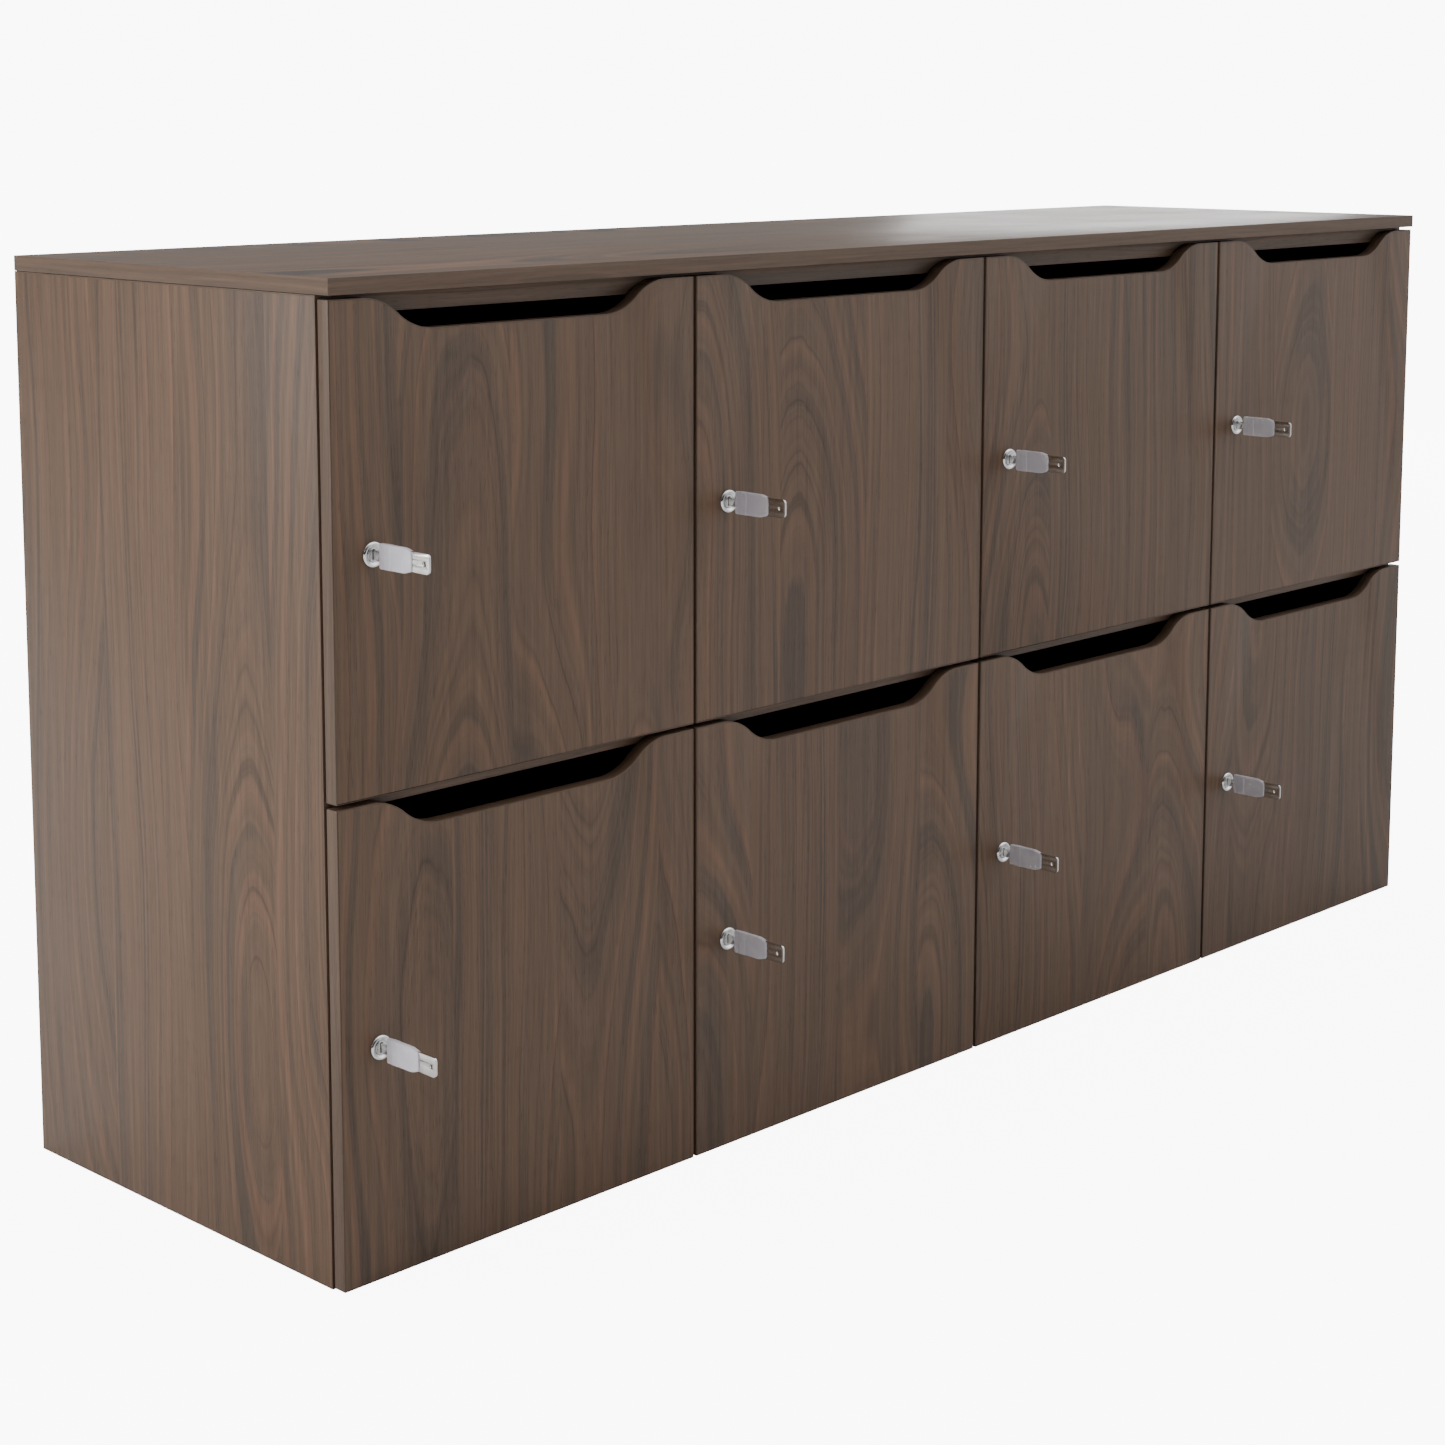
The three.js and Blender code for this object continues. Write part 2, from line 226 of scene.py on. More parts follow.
class Shell:
    """The closed bodies that make up one piece, with grain coordinates on every face."""

    def __init__(self, name: str) -> None:
        """Starts an empty piece.

        Args:
            name: Its name, which also picks the part of the veneer that it shows.
        """
        self.name = name
        self.mesh = bmesh.new()
        self.grain = self.mesh.loops.layers.uv.new(GRAIN_UV)
        pick = random.Random(name)
        self.shift = (pick.uniform(0, 9), pick.uniform(0, 9))

    def face(self, corners: list[bmesh.types.BMVert], grain: list[Point]) -> None:
        """Adds a face.

        Args:
            corners: Its vertices, in order round it.
            grain: Each corner's place across and along the grain.
        """
        made = self.mesh.faces.new(corners)
        for loop, (across, along) in zip(made.loops, grain):
            loop[self.grain].uv = (across + self.shift[0], along + self.shift[1])

    def walls(self, loop: Loop, profile: list[Point], plane: Plane) -> tuple[list, list]:
        """Builds a wall round an outline.

        Args:
            loop: The outline.
            profile: Pairs of inset and place through the plane.
            plane: The outline's plane.

        Returns:
            The first and the last ring of vertices.
        """
        count = len(loop)
        along = [0.0]
        for i in range(count):
            along.append(along[-1] + (Vector(loop[(i + 1) % count]) - Vector(loop[i])).length)
        rings = [[self.mesh.verts.new(plane.spot(a, b, depth)) for a, b in inset(loop, amount)]
                 for amount, depth in profile]
        for row, after, (_, low), (_, high) in zip(rings, rings[1:], profile, profile[1:]):
            for i in range(count):
                j = (i + 1) % count
                self.face([row[i], row[j], after[j], after[i]],
                          [(low, along[i]), (low, along[i + 1]), (high, along[i + 1]), (high, along[i])])
        return rings[0], rings[-1]

    def cap(self, rings: list[list], plane: Plane, grain: Grain) -> None:
        """Closes the space between an outer ring of vertices and the holes in it.

        Args:
            rings: The outer ring and then the holes.
            plane: The plane that they lie in.
            grain: The axis that the grain runs along.
        """
        first, second, _ = plane.value
        flat = [[Vector((v.co[first], v.co[second], 0)) for v in ring] for ring in rings]
        corners = [v for ring in rings for v in ring]
        across, along = (first, second) if grain is Grain.SECOND else (second, first)
        for triple in tessellate_polygon(flat):
            picked = [corners[i] for i in triple]
            self.face(picked, [(v.co[across], v.co[along]) for v in picked])

    def plate(self, outline: Loop, span: Point, plane: Plane, ease: float = 0.0,
              holes: tuple[Hole, ...] = (), hole_ease: float = 0.0,
              grain: Grain = Grain.SECOND) -> None:
        """Adds a flat body of even thickness.

        Args:
            outline: Its anticlockwise outline.
            span: Where its thickness starts and ends.
            plane: The outline's plane.
            ease: Rounding of its outer edges.
            holes: Holes through it or into it.
            hole_ease: Rounding of the holes' edges.
            grain: The axis that the grain runs along.
        """
        near, far = self.walls(outline, eased(span, ease), plane)
        near_rings, far_rings = [near], [far]
        for hole in holes:
            if hole.floor is None:
                first, last = self.walls(hole.loop, eased(span, hole_ease, -1), plane)
                near_rings.append(first)
                far_rings.append(last)
                continue
            mouth, inward = (span[0], 1) if hole.from_near else (span[1], -1)
            profile = [(-hole_ease, mouth), (0.0, mouth + inward * hole_ease), (0.0, hole.floor)]
            first, last = self.walls(hole.loop, profile, plane)
            (near_rings if hole.from_near else far_rings).append(first)
            self.cap([last], plane, grain)
        self.cap(near_rings, plane, grain)
        self.cap(far_rings, plane, grain)

    def turned(self, profile: list[Point], centre: Point, plane: Plane, closed: bool = False,
               sides: int = 48) -> None:
        """Adds a body of revolution whose axis crosses the plane.

        Args:
            profile: Pairs of radius and place along the axis.
            centre: Where the axis crosses the plane.
            plane: The plane.
            closed: True if the profile's end meets its start, as on a ring.
            sides: Number of sides.
        """
        rings = []
        for radius, depth in profile:
            around = circle(centre, radius, sides) if radius > 0 else [centre]
            rings.append([self.mesh.verts.new(plane.spot(a, b, depth)) for a, b in around])
        pairs = list(zip(rings, rings[1:])) + ([(rings[-1], rings[0])] if closed else [])
        for row, after in pairs:
            for i in range(sides):
                j = (i + 1) % sides
                corners = [row[i % len(row)], row[j % len(row)], after[j % len(after)], after[i % len(after)]]
                corners = list(dict.fromkeys(corners))
                self.face(corners, [(0.0, i * MM)] * len(corners))

    def loft(self, sections: list[tuple[float, Loop]], plane: Plane) -> None:
        """Adds a body through a row of outlines with the same number of points.

        Args:
            sections: Pairs of place along the body and outline there.
            plane: The plane that the outlines lie in.
        """
        rings = [[self.mesh.verts.new(plane.spot(a, b, depth)) for a, b in loop]
                 for depth, loop in sections]
        for row, after in zip(rings, rings[1:]):
            for i in range(len(row)):
                j = (i + 1) % len(row)
                self.face([row[i], row[j], after[j], after[i]], [(0.0, 0.0)] * 4)
        for ring in (rings[0], rings[-1]):
            self.cap([ring], plane, Grain.SECOND)

    def done(self, finish: "Finish", body: str, *nodes: str) -> bpy.types.Object:
        """Makes the object.

        Args:
            finish: Its material.
            body: The body that it rides on.
            nodes: The CAD nodes that it stands for.

        Returns:
            The object, in the scene.
        """
        bmesh.ops.recalc_face_normals(self.mesh, faces=self.mesh.faces)
        data = bpy.data.meshes.new(self.name)
        self.mesh.to_mesh(data)
        self.mesh.free()
        data.materials.append(finish.material())
        return place(self.name, data, finish, body, nodes)


def place(name: str, data: bpy.types.Mesh, finish: "Finish", body: str,
          nodes: tuple[str, ...] = ()) -> bpy.types.Object:
    """Puts a mesh in the scene as a piece of the object.

    Args:
        name: The piece's name.
        data: Its mesh, in metres and in place.
        finish: Its material.
        body: The body that it rides on.
        nodes: The CAD nodes that it stands for.

    Returns:
        The piece.
    """
    data.shade_smooth()
    data.set_sharp_from_angle(angle=SHARP)
    piece = bpy.data.objects.new(name, data)
    bpy.context.scene.collection.objects.link(piece)
    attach(piece, body)
    if nodes:
        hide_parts(*nodes)
    LOG.info("%s rides on %s, %d faces", name, body, len(data.polygons))
    return piece


# ---------- shader nodes ----------

class Net:
    """Lays out and joins the nodes of one tree."""

    def __init__(self, tree: bpy.types.NodeTree) -> None:
        """Works on this tree."""
        self.tree = tree

    def add(self, kind: str, feeds: dict | None = None, **settings: object) -> bpy.types.Node:
        """Adds a node.

        Args:
            kind: The node's type.
            feeds: Its inputs by name or number, each a value or an output socket.
            settings: Its other properties.

        Returns:
            The node.
        """
        made = self.tree.nodes.new(kind)
        for key, value in settings.items():
            setattr(made, key, value)
        for key, value in (feeds or {}).items():
            if isinstance(value, Socket):
                self.tree.links.new(value, made.inputs[key])
            else:
                made.inputs[key].default_value = value
        return made

    def math(self, operation: str, *values: float | Socket) -> Socket:
        """The result of a Math node."""
        return self.add("ShaderNodeMath", dict(enumerate(values)), operation=operation).outputs[0]

    def vector(self, x: float | Socket, y: float | Socket, z: float | Socket = 0.0) -> Socket:
        """A vector made of three numbers."""
        return self.add("ShaderNodeCombineXYZ", {0: x, 1: y, 2: z}).outputs[0]

    def scale(self, value: Socket, factor: float | Socket) -> Socket:
        """A vector times a number."""
        return self.add("ShaderNodeVectorMath", {0: value, "Scale": factor}, operation="SCALE").outputs[0]

    def noise(self, where: Socket, dims: str, detail: float = 2.0, rough: float = 0.5) -> Socket:
        """A noise value between 0 and 1.

        Args:
            where: The coordinate: a number for 1D, otherwise a vector.
            dims: "1D", "2D" or "3D".
            detail: Number of finer layers.
            rough: Strength of the finer layers.

        Returns:
            The value.
        """
        feeds = {"W" if dims == "1D" else "Vector": where, "Scale": 1.0, "Detail": detail, "Roughness": rough}
        return self.add("ShaderNodeTexNoise", feeds, noise_dimensions=dims).outputs["Fac"]

    def ramp(self, value: Socket, low: float, high: float, start: float = 0.0, end: float = 1.0) -> Socket:
        """The value eased from one range into another.

        Args:
            value: What to map.
            low: Where the result starts to change.
            high: Where it stops changing.
            start: The result at low.
            end: The result at high.

        Returns:
            The mapped value.
        """
        feeds = {"Value": value, "From Min": low, "From Max": high, "To Min": start, "To Max": end}
        return self.add("ShaderNodeMapRange", feeds, interpolation_type="SMOOTHSTEP").outputs[0]

    def mix(self, share: float | Socket, first: object, second: object, blend: str = "MIX") -> Socket:
        """A mix of two colours.

        Args:
            share: How much of the second.
            first: A colour or a socket.
            second: A colour or a socket.
            blend: The blend mode.

        Returns:
            The mixed colour.
        """
        feeds = {0: share, 6: first, 7: second}
        return self.add("ShaderNodeMix", feeds, data_type="RGBA", blend_type=blend).outputs[2]


def shader_group(name: str, inputs: dict[str, str], outputs: dict[str, str]) -> tuple[Net, Sockets, Sockets]:
    """Starts a shader node group with named sockets.

    Args:
        name: The group's name.
        inputs: Its input sockets, name to type.
        outputs: Its output sockets, name to type.

    Returns:
        The group's net, its input node's outputs and its output node's inputs.
    """
    tree = bpy.data.node_groups.new(name, "ShaderNodeTree")
    for side, sockets in (("INPUT", inputs), ("OUTPUT", outputs)):
        for key, kind in sockets.items():
            tree.interface.new_socket(name=key, in_out=side, socket_type=f"NodeSocket{kind}")
    net = Net(tree)
    given = net.add("NodeGroupInput").outputs
    wanted = net.add("NodeGroupOutput").inputs
    return net, given, wanted


def wood_grain() -> bpy.types.NodeTree:
    """The group that draws walnut grain from coordinates in metres, across and along.

    The veneer is laid in planks. Each is a slice at its own place through a trunk whose rings
    lie a varying depth below it, which gives straight grain, tall pointed figures or ovals.

    Returns:
        The group.
    """
    name = "walnut_grain"
    if name in bpy.data.node_groups:
        return bpy.data.node_groups[name]
    net, given, wanted = shader_group(
        name,
        {"Vector": "Vector", "Dark": "Color", "Mid": "Color", "Warm": "Color", "Contrast": "Float",
         "Plank": "Float", "Figure": "Float"},
        {"Color": "Color", "Height": "Float", "Gloss": "Float"},
    )
    split = net.add("ShaderNodeSeparateXYZ", {0: given["Vector"]}).outputs
    across, along = split[0], split[1]
    plank = net.math("FLOOR", net.math("DIVIDE", across, given["Plank"]))
    dice = net.add("ShaderNodeTexWhiteNoise", {"W": plank}, noise_dimensions="1D").outputs
    chance = net.add("ShaderNodeSeparateColor", {0: dice["Color"]}).outputs

    def stretched(fine: float, long: float) -> Socket:
        """The coordinate scaled across and along the grain."""
        return net.vector(net.math("MULTIPLY", across, fine), net.math("MULTIPLY", along, long))

    middle = net.math("MULTIPLY", net.math("ADD", plank, 0.5), given["Plank"])
    aside = net.math("ADD", net.math("SUBTRACT", across, middle),
                     net.math("MULTIPLY_ADD", chance[0], 0.34, -0.17))
    run = net.math("MULTIPLY_ADD", chance[1], 60.0, net.math("MULTIPLY", along, 1.25))
    deep = net.math("MULTIPLY_ADD", net.noise(run, "1D", 1.0), 0.17, -0.02)
    deep = net.math("MULTIPLY", deep, given["Figure"])
    ring = net.math("SQRT", net.math("MULTIPLY_ADD", aside, aside, net.math("MULTIPLY", deep, deep)))
    bend = net.noise(stretched(9, 1.5), "2D", 1.0)
    waver = net.noise(stretched(36, 5), "2D", 2.0)
    ring = net.math("MULTIPLY_ADD", bend, 0.035, ring)
    ring = net.math("MULTIPLY_ADD", waver, 0.0045, ring)

    def rings(per_metre: float, detail: float, offset: float) -> Socket:
        """A tone that is even along each growth ring."""
        return net.noise(net.math("MULTIPLY_ADD", ring, per_metre, offset), "1D", detail, 0.55)

    bands = rings(62, 2.5, 0.0)
    warmth = rings(120, 2.5, 37.0)
    lines = rings(330, 2.5, 11.0)
    drift = net.noise(stretched(13, 1.4), "2D", 2.0)
    fibres = net.noise(stretched(680, 18), "2D", 2.5, 0.65)
    pores = net.ramp(net.noise(stretched(1300, 55), "2D", 1.0), 0.62, 0.72)
    streaks = net.noise(stretched(200, 4), "2D", 2.5, 0.6)

    depth = net.math("MULTIPLY_ADD", drift, 0.45, net.math("MULTIPLY", bands, 0.7))
    darkness = net.math("MULTIPLY", net.ramp(depth, 0.58, 0.42), given["Contrast"])
    tone = net.mix(darkness, given["Mid"], given["Dark"])
    glow = net.math("MULTIPLY", net.ramp(warmth, 0.48, 0.72), given["Contrast"])
    tone = net.mix(glow, tone, given["Warm"])

    def swing(value: Socket, amount: float) -> Socket:
        """A factor about one that follows a noise value."""
        return net.math("MULTIPLY_ADD", value, amount, 1 - amount / 2)

    shade = net.math("MULTIPLY", swing(lines, 0.44), swing(fibres, 0.4))
    shade = net.math("MULTIPLY", shade, swing(streaks, 0.6))
    shade = net.math("MULTIPLY", shade, swing(chance[2], 0.1))
    dark_lines = net.math("MULTIPLY", net.ramp(lines, 0.38, 0.28), net.ramp(drift, 0.4, 0.62, 0.04, 0.24))
    shade = net.math("MULTIPLY", shade, net.math("SUBTRACT", 1.0, dark_lines))
    pore_mask = net.math("MULTIPLY", pores, net.ramp(bands, 0.6, 0.4, 0.1, 0.28))
    shade = net.math("MULTIPLY", shade, net.math("SUBTRACT", 1.0, pore_mask))
    grey = net.add("ShaderNodeCombineColor", {0: shade, 1: shade, 2: shade}).outputs[0]
    links = net.tree.links
    links.new(net.mix(1.0, tone, grey, "MULTIPLY"), wanted["Color"])
    rise = net.math("MULTIPLY_ADD", fibres, 0.5, net.math("MULTIPLY", lines, 0.25))
    links.new(net.math("SUBTRACT", rise, net.math("MULTIPLY", pores, 0.6)), wanted["Height"])
    links.new(net.math("MULTIPLY_ADD", pores, 0.2, net.math("MULTIPLY", drift, 0.5)), wanted["Gloss"])
    return net.tree


def handling() -> bpy.types.NodeTree:
    """The group for light handling marks: soft smudges, and specks of dust.

    Returns:
        The group.
    """
    name, specks_per_smudge = "handling_marks", 23.0
    if name in bpy.data.node_groups:
        return bpy.data.node_groups[name]
    net, given, wanted = shader_group(
        name, {"Vector": "Vector", "Size": "Float"}, {"Smudge": "Float", "Speck": "Float"})
    per_metre = net.math("DIVIDE", 1.0, given["Size"])
    where = net.scale(given["Vector"], per_metre)
    smudge = net.ramp(net.noise(where, "3D", 4.0, 0.6), 0.4, 0.68)
    speck = net.ramp(net.noise(net.scale(where, specks_per_smudge), "3D", 1.0), 0.7, 0.78)
    net.tree.links.new(smudge, wanted["Smudge"])
    net.tree.links.new(speck, wanted["Speck"])
    return net.tree


# ---------- finishes ----------

@dataclass(frozen=True)
class Finish:
    """A material, and the record's slot that it belongs to."""

    name: str
    slot: str

    def material(self) -> bpy.types.Material:
        """The material, built the first time that it is asked for."""
        return bpy.data.materials.get(self.name) or self.build()

    def start(self, **constants: object) -> tuple[Net, bpy.types.Node]:
        """Starts the material with its shader.

        Args:
            constants: Values for the shader's own sockets, with _ for a space.

        Returns:
            The material's net and its shader.
        """
        made = bpy.data.materials.new(self.name)
        made.use_nodes = True
        net = Net(made.node_tree)
        shader = made.node_tree.nodes["Principled BSDF"]
        for key, value in constants.items():
            shader.inputs[key.replace("_", " ")].default_value = value
        return net, shader

    def bump(self, net: Net, shader: bpy.types.Node, height: Socket, strength: float,
             distance: float) -> None:
        """Raises the surface by a height.

        Args:
            net: The material's net.
            shader: Its shader.
            height: The height, about 0 to 1.
            strength: How strong the effect is.
            distance: What a height of one stands for, in metres.
        """
        feeds = {"Height": height, "Strength": strength, "Distance": distance}
        relief = net.add("ShaderNodeBump", feeds).outputs[0]
        net.tree.links.new(relief, shader.inputs["Normal"])

    def marks(self, net: Net, size: float) -> bpy.types.Node:
        """Places the handling group, on object coordinates.

        Args:
            net: The material's net.
            size: Size of a smudge, in metres.

        Returns:
            The group's node.
        """
        where = net.add("ShaderNodeTexCoord").outputs["Object"]
        marks = net.add("ShaderNodeGroup", node_tree=handling())
        net.tree.links.new(where, marks.inputs["Vector"])
        marks.inputs["Size"].default_value = size
        return marks

    def build(self) -> bpy.types.Material:
        """Builds the material; each kind of finish has its own way."""
        raise NotImplementedError


@dataclass(frozen=True)
class WoodGrain(Finish):
    """Printed walnut laminate, edging or back board."""

    dark: tuple[float, float, float] = (0.066, 0.047, 0.034)
    mid: tuple[float, float, float] = (0.123, 0.074, 0.045)
    warm: tuple[float, float, float] = (0.168, 0.089, 0.053)
    contrast: float = 0.7
    plank: float = 0.118
    figure: float = 1.0
    rough: float = 0.4
    ior: float = 1.42
    relief: float = 0.35

    def build(self) -> bpy.types.Material:
        """Builds the material on the piece's grain coordinates.

        Returns:
            The material.
        """
        net, shader = self.start(IOR=self.ior)
        where = net.add("ShaderNodeUVMap", uv_map=GRAIN_UV).outputs[0]
        grain = net.add("ShaderNodeGroup", node_tree=wood_grain())
        net.tree.links.new(where, grain.inputs["Vector"])
        for key, tone in (("Dark", self.dark), ("Mid", self.mid), ("Warm", self.warm)):
            grain.inputs[key].default_value = (*tone, 1.0)
        grain.inputs["Contrast"].default_value = self.contrast
        grain.inputs["Plank"].default_value = self.plank
        grain.inputs["Figure"].default_value = self.figure
        net.tree.links.new(grain.outputs["Color"], shader.inputs["Base Color"])
        marks = self.marks(net, 0.16)
        gloss = net.math("MULTIPLY_ADD", grain.outputs["Gloss"], 0.16, self.rough - 0.04)
        gloss = net.math("MULTIPLY_ADD", marks.outputs["Smudge"], 0.04, gloss)
        net.tree.links.new(gloss, shader.inputs["Roughness"])
        self.bump(net, shader, grain.outputs["Height"], self.relief, 0.06 * MM)
        return bpy.data.materials[self.name]


@dataclass(frozen=True)
class Metal(Finish):
    """Plated or plain metal with fine drawing lines and light marks."""

    tone: tuple[float, float, float] = (0.75, 0.75, 0.76)
    rough: float = 0.15
    lines: float = 0.2
    line_axis: tuple[float, float, float] = (900.0, 900.0, 900.0)

    def build(self) -> bpy.types.Material:
        """Builds the material on object coordinates.

        Returns:
            The material.
        """
        net, shader = self.start(Metallic=1.0)
        where = net.add("ShaderNodeTexCoord").outputs["Object"]
        stretched = net.add("ShaderNodeMapping", {"Vector": where, "Scale": self.line_axis}).outputs[0]
        drawn = net.noise(stretched, "3D", 3.0, 0.6)
        marks = self.marks(net, 0.012)
        tint = net.mix(marks.outputs["Smudge"], (*self.tone, 1.0), (*[0.86 * c for c in self.tone], 1.0))
        net.tree.links.new(tint, shader.inputs["Base Color"])
        rough = net.math("MULTIPLY_ADD", drawn, 0.12, self.rough - 0.04)
        rough = net.math("MULTIPLY_ADD", marks.outputs["Smudge"], 0.1, rough)
        net.tree.links.new(rough, shader.inputs["Roughness"])
        self.bump(net, shader, drawn, self.lines, 0.02 * MM)
        return bpy.data.materials[self.name]


@dataclass(frozen=True)
class Moulding(Finish):
    """Moulded plastic, opaque or clear."""

    tone: tuple[float, float, float] = (0.05, 0.04, 0.035)
    rough: float = 0.4
    clear: float = 0.0

    def build(self) -> bpy.types.Material:
        """Builds the material on object coordinates.

        Returns:
            The material.
        """
        net, shader = self.start(IOR=1.46, Transmission_Weight=self.clear)
        marks = self.marks(net, 0.02)
        clouded = [min(1.0, 1.12 * c) for c in self.tone]
        tint = net.mix(marks.outputs["Smudge"], (*self.tone, 1.0), (*clouded, 1.0))
        net.tree.links.new(tint, shader.inputs["Base Color"])
        rough = net.math("MULTIPLY_ADD", marks.outputs["Smudge"], 0.12, self.rough)
        net.tree.links.new(rough, shader.inputs["Roughness"])
        self.bump(net, shader, marks.outputs["Speck"], 0.2, 0.03 * MM)
        return bpy.data.materials[self.name]


LAMINATE = WoodGrain("walnut_board_laminate", "walnut_laminate")
# The slab's top: the board laminate with stronger grain contrast, drawn darker as painted shade on the top.
TOP_LAMINATE_PAINTED_SHADE = WoodGrain("walnut_top_laminate_painted_shade", "top_laminate", dark=(0.05, 0.036, 0.027),
                         mid=(0.106, 0.065, 0.04), contrast=1.0, rough=0.34)
EDGING = WoodGrain("walnut_edging", "edge_band", dark=(0.058, 0.042, 0.031), mid=(0.112, 0.07, 0.045),
                   warm=(0.15, 0.088, 0.058), contrast=0.5, figure=0.1, rough=0.42)
BACK_BOARD = WoodGrain("walnut_back_board", "back_board", dark=(0.09, 0.068, 0.053),
                       mid=(0.15, 0.11, 0.083), warm=(0.185, 0.128, 0.094), contrast=0.5, rough=0.6)
CHROME = Metal("bright_chrome", "chrome_lock", tone=(0.84, 0.84, 0.85), rough=0.07, lines=0.05)
SATIN_CHROME = Metal("satin_chrome", "chrome_lock", tone=(0.7, 0.7, 0.7), rough=0.24)
KEY_STEEL = Metal("key_nickel", "key_metal", tone=(0.72, 0.71, 0.69), rough=0.12, lines=0.1,
                  line_axis=(900.0, 60.0, 2600.0))
HINGE_STEEL = Metal("hinge_nickel", "hinge_steel", tone=(0.66, 0.65, 0.63), rough=0.24)
CLEAR_GRIP = Moulding("key_grip_clear", "key_grip", tone=(0.87, 0.84, 0.92), rough=0.16, clear=0.28)
CAP_PLASTIC = Moulding("cap_brown", "cap_plastic", tone=(0.045, 0.033, 0.026), rough=0.42)
BUMPER_PLASTIC = Moulding("bumper_clear", "key_grip", tone=(0.8, 0.8, 0.78), rough=0.3, clear=0.5)


# ---------- repeated pieces ----------

@dataclass(frozen=True)
class Scatter:
    """Places copies of one small form at a list of spots, by geometry nodes.

    Subclasses lay out the form; every size is a named input of the tree.
    """

    name: str
    sizes: dict[str, float] = field(default_factory=dict, hash=False)

    def form(self, net: Net, given: Sockets) -> Socket:
        """Lays out the form at the origin, with its outer end towards +Z."""
        raise NotImplementedError

    def tree(self) -> bpy.types.NodeTree:
        """Builds the tree the first time that it is asked for.

        Returns:
            The geometry node tree.
        """
        if self.name in bpy.data.node_groups:
            return bpy.data.node_groups[self.name]
        tree = bpy.data.node_groups.new(self.name, "GeometryNodeTree")
        tree.interface.new_socket(name="Spots", in_out="INPUT", socket_type="NodeSocketGeometry")
        for key, value in self.sizes.items():
            made = tree.interface.new_socket(name=key, in_out="INPUT", socket_type="NodeSocketFloat")
            made.default_value = value
        seed = tree.interface.new_socket(name="Seed", in_out="INPUT", socket_type="NodeSocketInt")
        seed.default_value = 7
        tree.interface.new_socket(name="Finish", in_out="INPUT", socket_type="NodeSocketMaterial")
        tree.interface.new_socket(name="Pieces", in_out="OUTPUT", socket_type="NodeSocketGeometry")
        net = Net(tree)
        given = net.add("NodeGroupInput").outputs
        form = self.form(net, given)
        facing = net.add("GeometryNodeInputNamedAttribute", {"Name": "facing"}, data_type="FLOAT_VECTOR")
        aimed = net.add("FunctionNodeAlignRotationToVector", {"Vector": facing.outputs[0]}, axis="Z")
        turn = net.add("FunctionNodeRandomValue", {2: 0.0, 3: 2 * math.pi, "Seed": given["Seed"]})
        spin = net.add("FunctionNodeAxisAngleToRotation", {"Axis": (0, 0, 1), "Angle": turn.outputs[1]})
        turned = net.add("FunctionNodeRotateRotation", {0: aimed.outputs[0], 1: spin.outputs[0]},
                         rotation_space="LOCAL")
        points = net.add("GeometryNodeMeshToPoints", {"Mesh": given["Spots"]})
        copies = net.add("GeometryNodeInstanceOnPoints", {
            "Points": points.outputs[0], "Instance": form, "Rotation": turned.outputs[0]})
        real = net.add("GeometryNodeRealizeInstances", {0: copies.outputs[0]})
        dressed = net.add("GeometryNodeSetMaterial", {0: real.outputs[0], "Material": given["Finish"]})
        out = net.add("NodeGroupOutput")
        tree.links.new(dressed.outputs[0], out.inputs[0])
        return tree

    def at(self, name: str, spots: list[tuple[Vector, Vector]], finish: Finish, body: str,
           **sizes: float) -> bpy.types.Object:
        """Makes one piece of all the copies.

        Args:
            name: The piece's name.
            spots: Pairs of place and outward direction.
            finish: Its material.
            body: The body that it rides on.
            sizes: Sizes that differ from the form's own, with _ for a space.

        Returns:
            The piece.
        """
        points = bpy.data.meshes.new(name + "_spots")
        points.from_pydata([tuple(where) for where, _ in spots], [], [])
        facing = points.attributes.new("facing", "FLOAT_VECTOR", "POINT")
        facing.data.foreach_set("vector", [c for _, way in spots for c in way])
        holder = bpy.data.objects.new(name + "_spots", points)
        bpy.context.scene.collection.objects.link(holder)
        modifier = holder.modifiers.new("copies", "NODES")
        modifier.node_group = self.tree()
        wanted = {key.replace("_", " "): value for key, value in sizes.items()}
        wanted["Finish"] = finish.material()
        for item in modifier.node_group.interface.items_tree:
            if item.name in wanted:
                modifier[item.identifier] = wanted[item.name]
        evaluated = holder.evaluated_get(bpy.context.evaluated_depsgraph_get())
        made = bpy.data.meshes.new_from_object(evaluated)
        made.name = name
        holder.modifiers.clear()
        bpy.data.objects.remove(holder)
        bpy.data.meshes.remove(points)
        return place(name, made, finish, body)


@dataclass(frozen=True)
class Screws(Scatter):
    """Countersunk heads with a cross recess, flush with the surface that they sit in."""

    name: str = "cross_head_screws"
    sizes: dict[str, float] = field(hash=False, default_factory=lambda: {
        "Radius": 3.4 * MM, "Height": 1.2 * MM, "Recess": 2.2 * MM})

    def form(self, net: Net, given: Sockets) -> Socket:
        """A cone with two crossed slots cut into its top.

        Args:
            net: The tree's net.
            given: The tree's inputs.

        Returns:
            The screw head.
        """
        root = net.math("MULTIPLY", given["Radius"], 0.6)
        head = net.add("GeometryNodeMeshCone", {
            "Vertices": 28, "Radius Top": given["Radius"], "Radius Bottom": root, "Depth": given["Height"]})
        slot_width = net.math("MULTIPLY", given["Recess"], 0.32)
        long_way = net.math("MULTIPLY", given["Recess"], 2.0)
        slots = []
        for size in ((long_way, slot_width), (slot_width, long_way)):
            cube = net.add("GeometryNodeMeshCube", {"Size": net.vector(size[0], size[1], given["Height"])})
            lifted = net.add("GeometryNodeTransform", {
                0: cube.outputs[0], "Translation": net.vector(0.0, 0.0, given["Height"])})
            slots.append(lifted.outputs[0])
        cut = net.add("GeometryNodeMeshBoolean", {0: head.outputs[0]}, solver="EXACT", operation="DIFFERENCE")
        for slot in slots:
            net.tree.links.new(slot, cut.inputs["Mesh 2"])
        return cut.outputs[0]


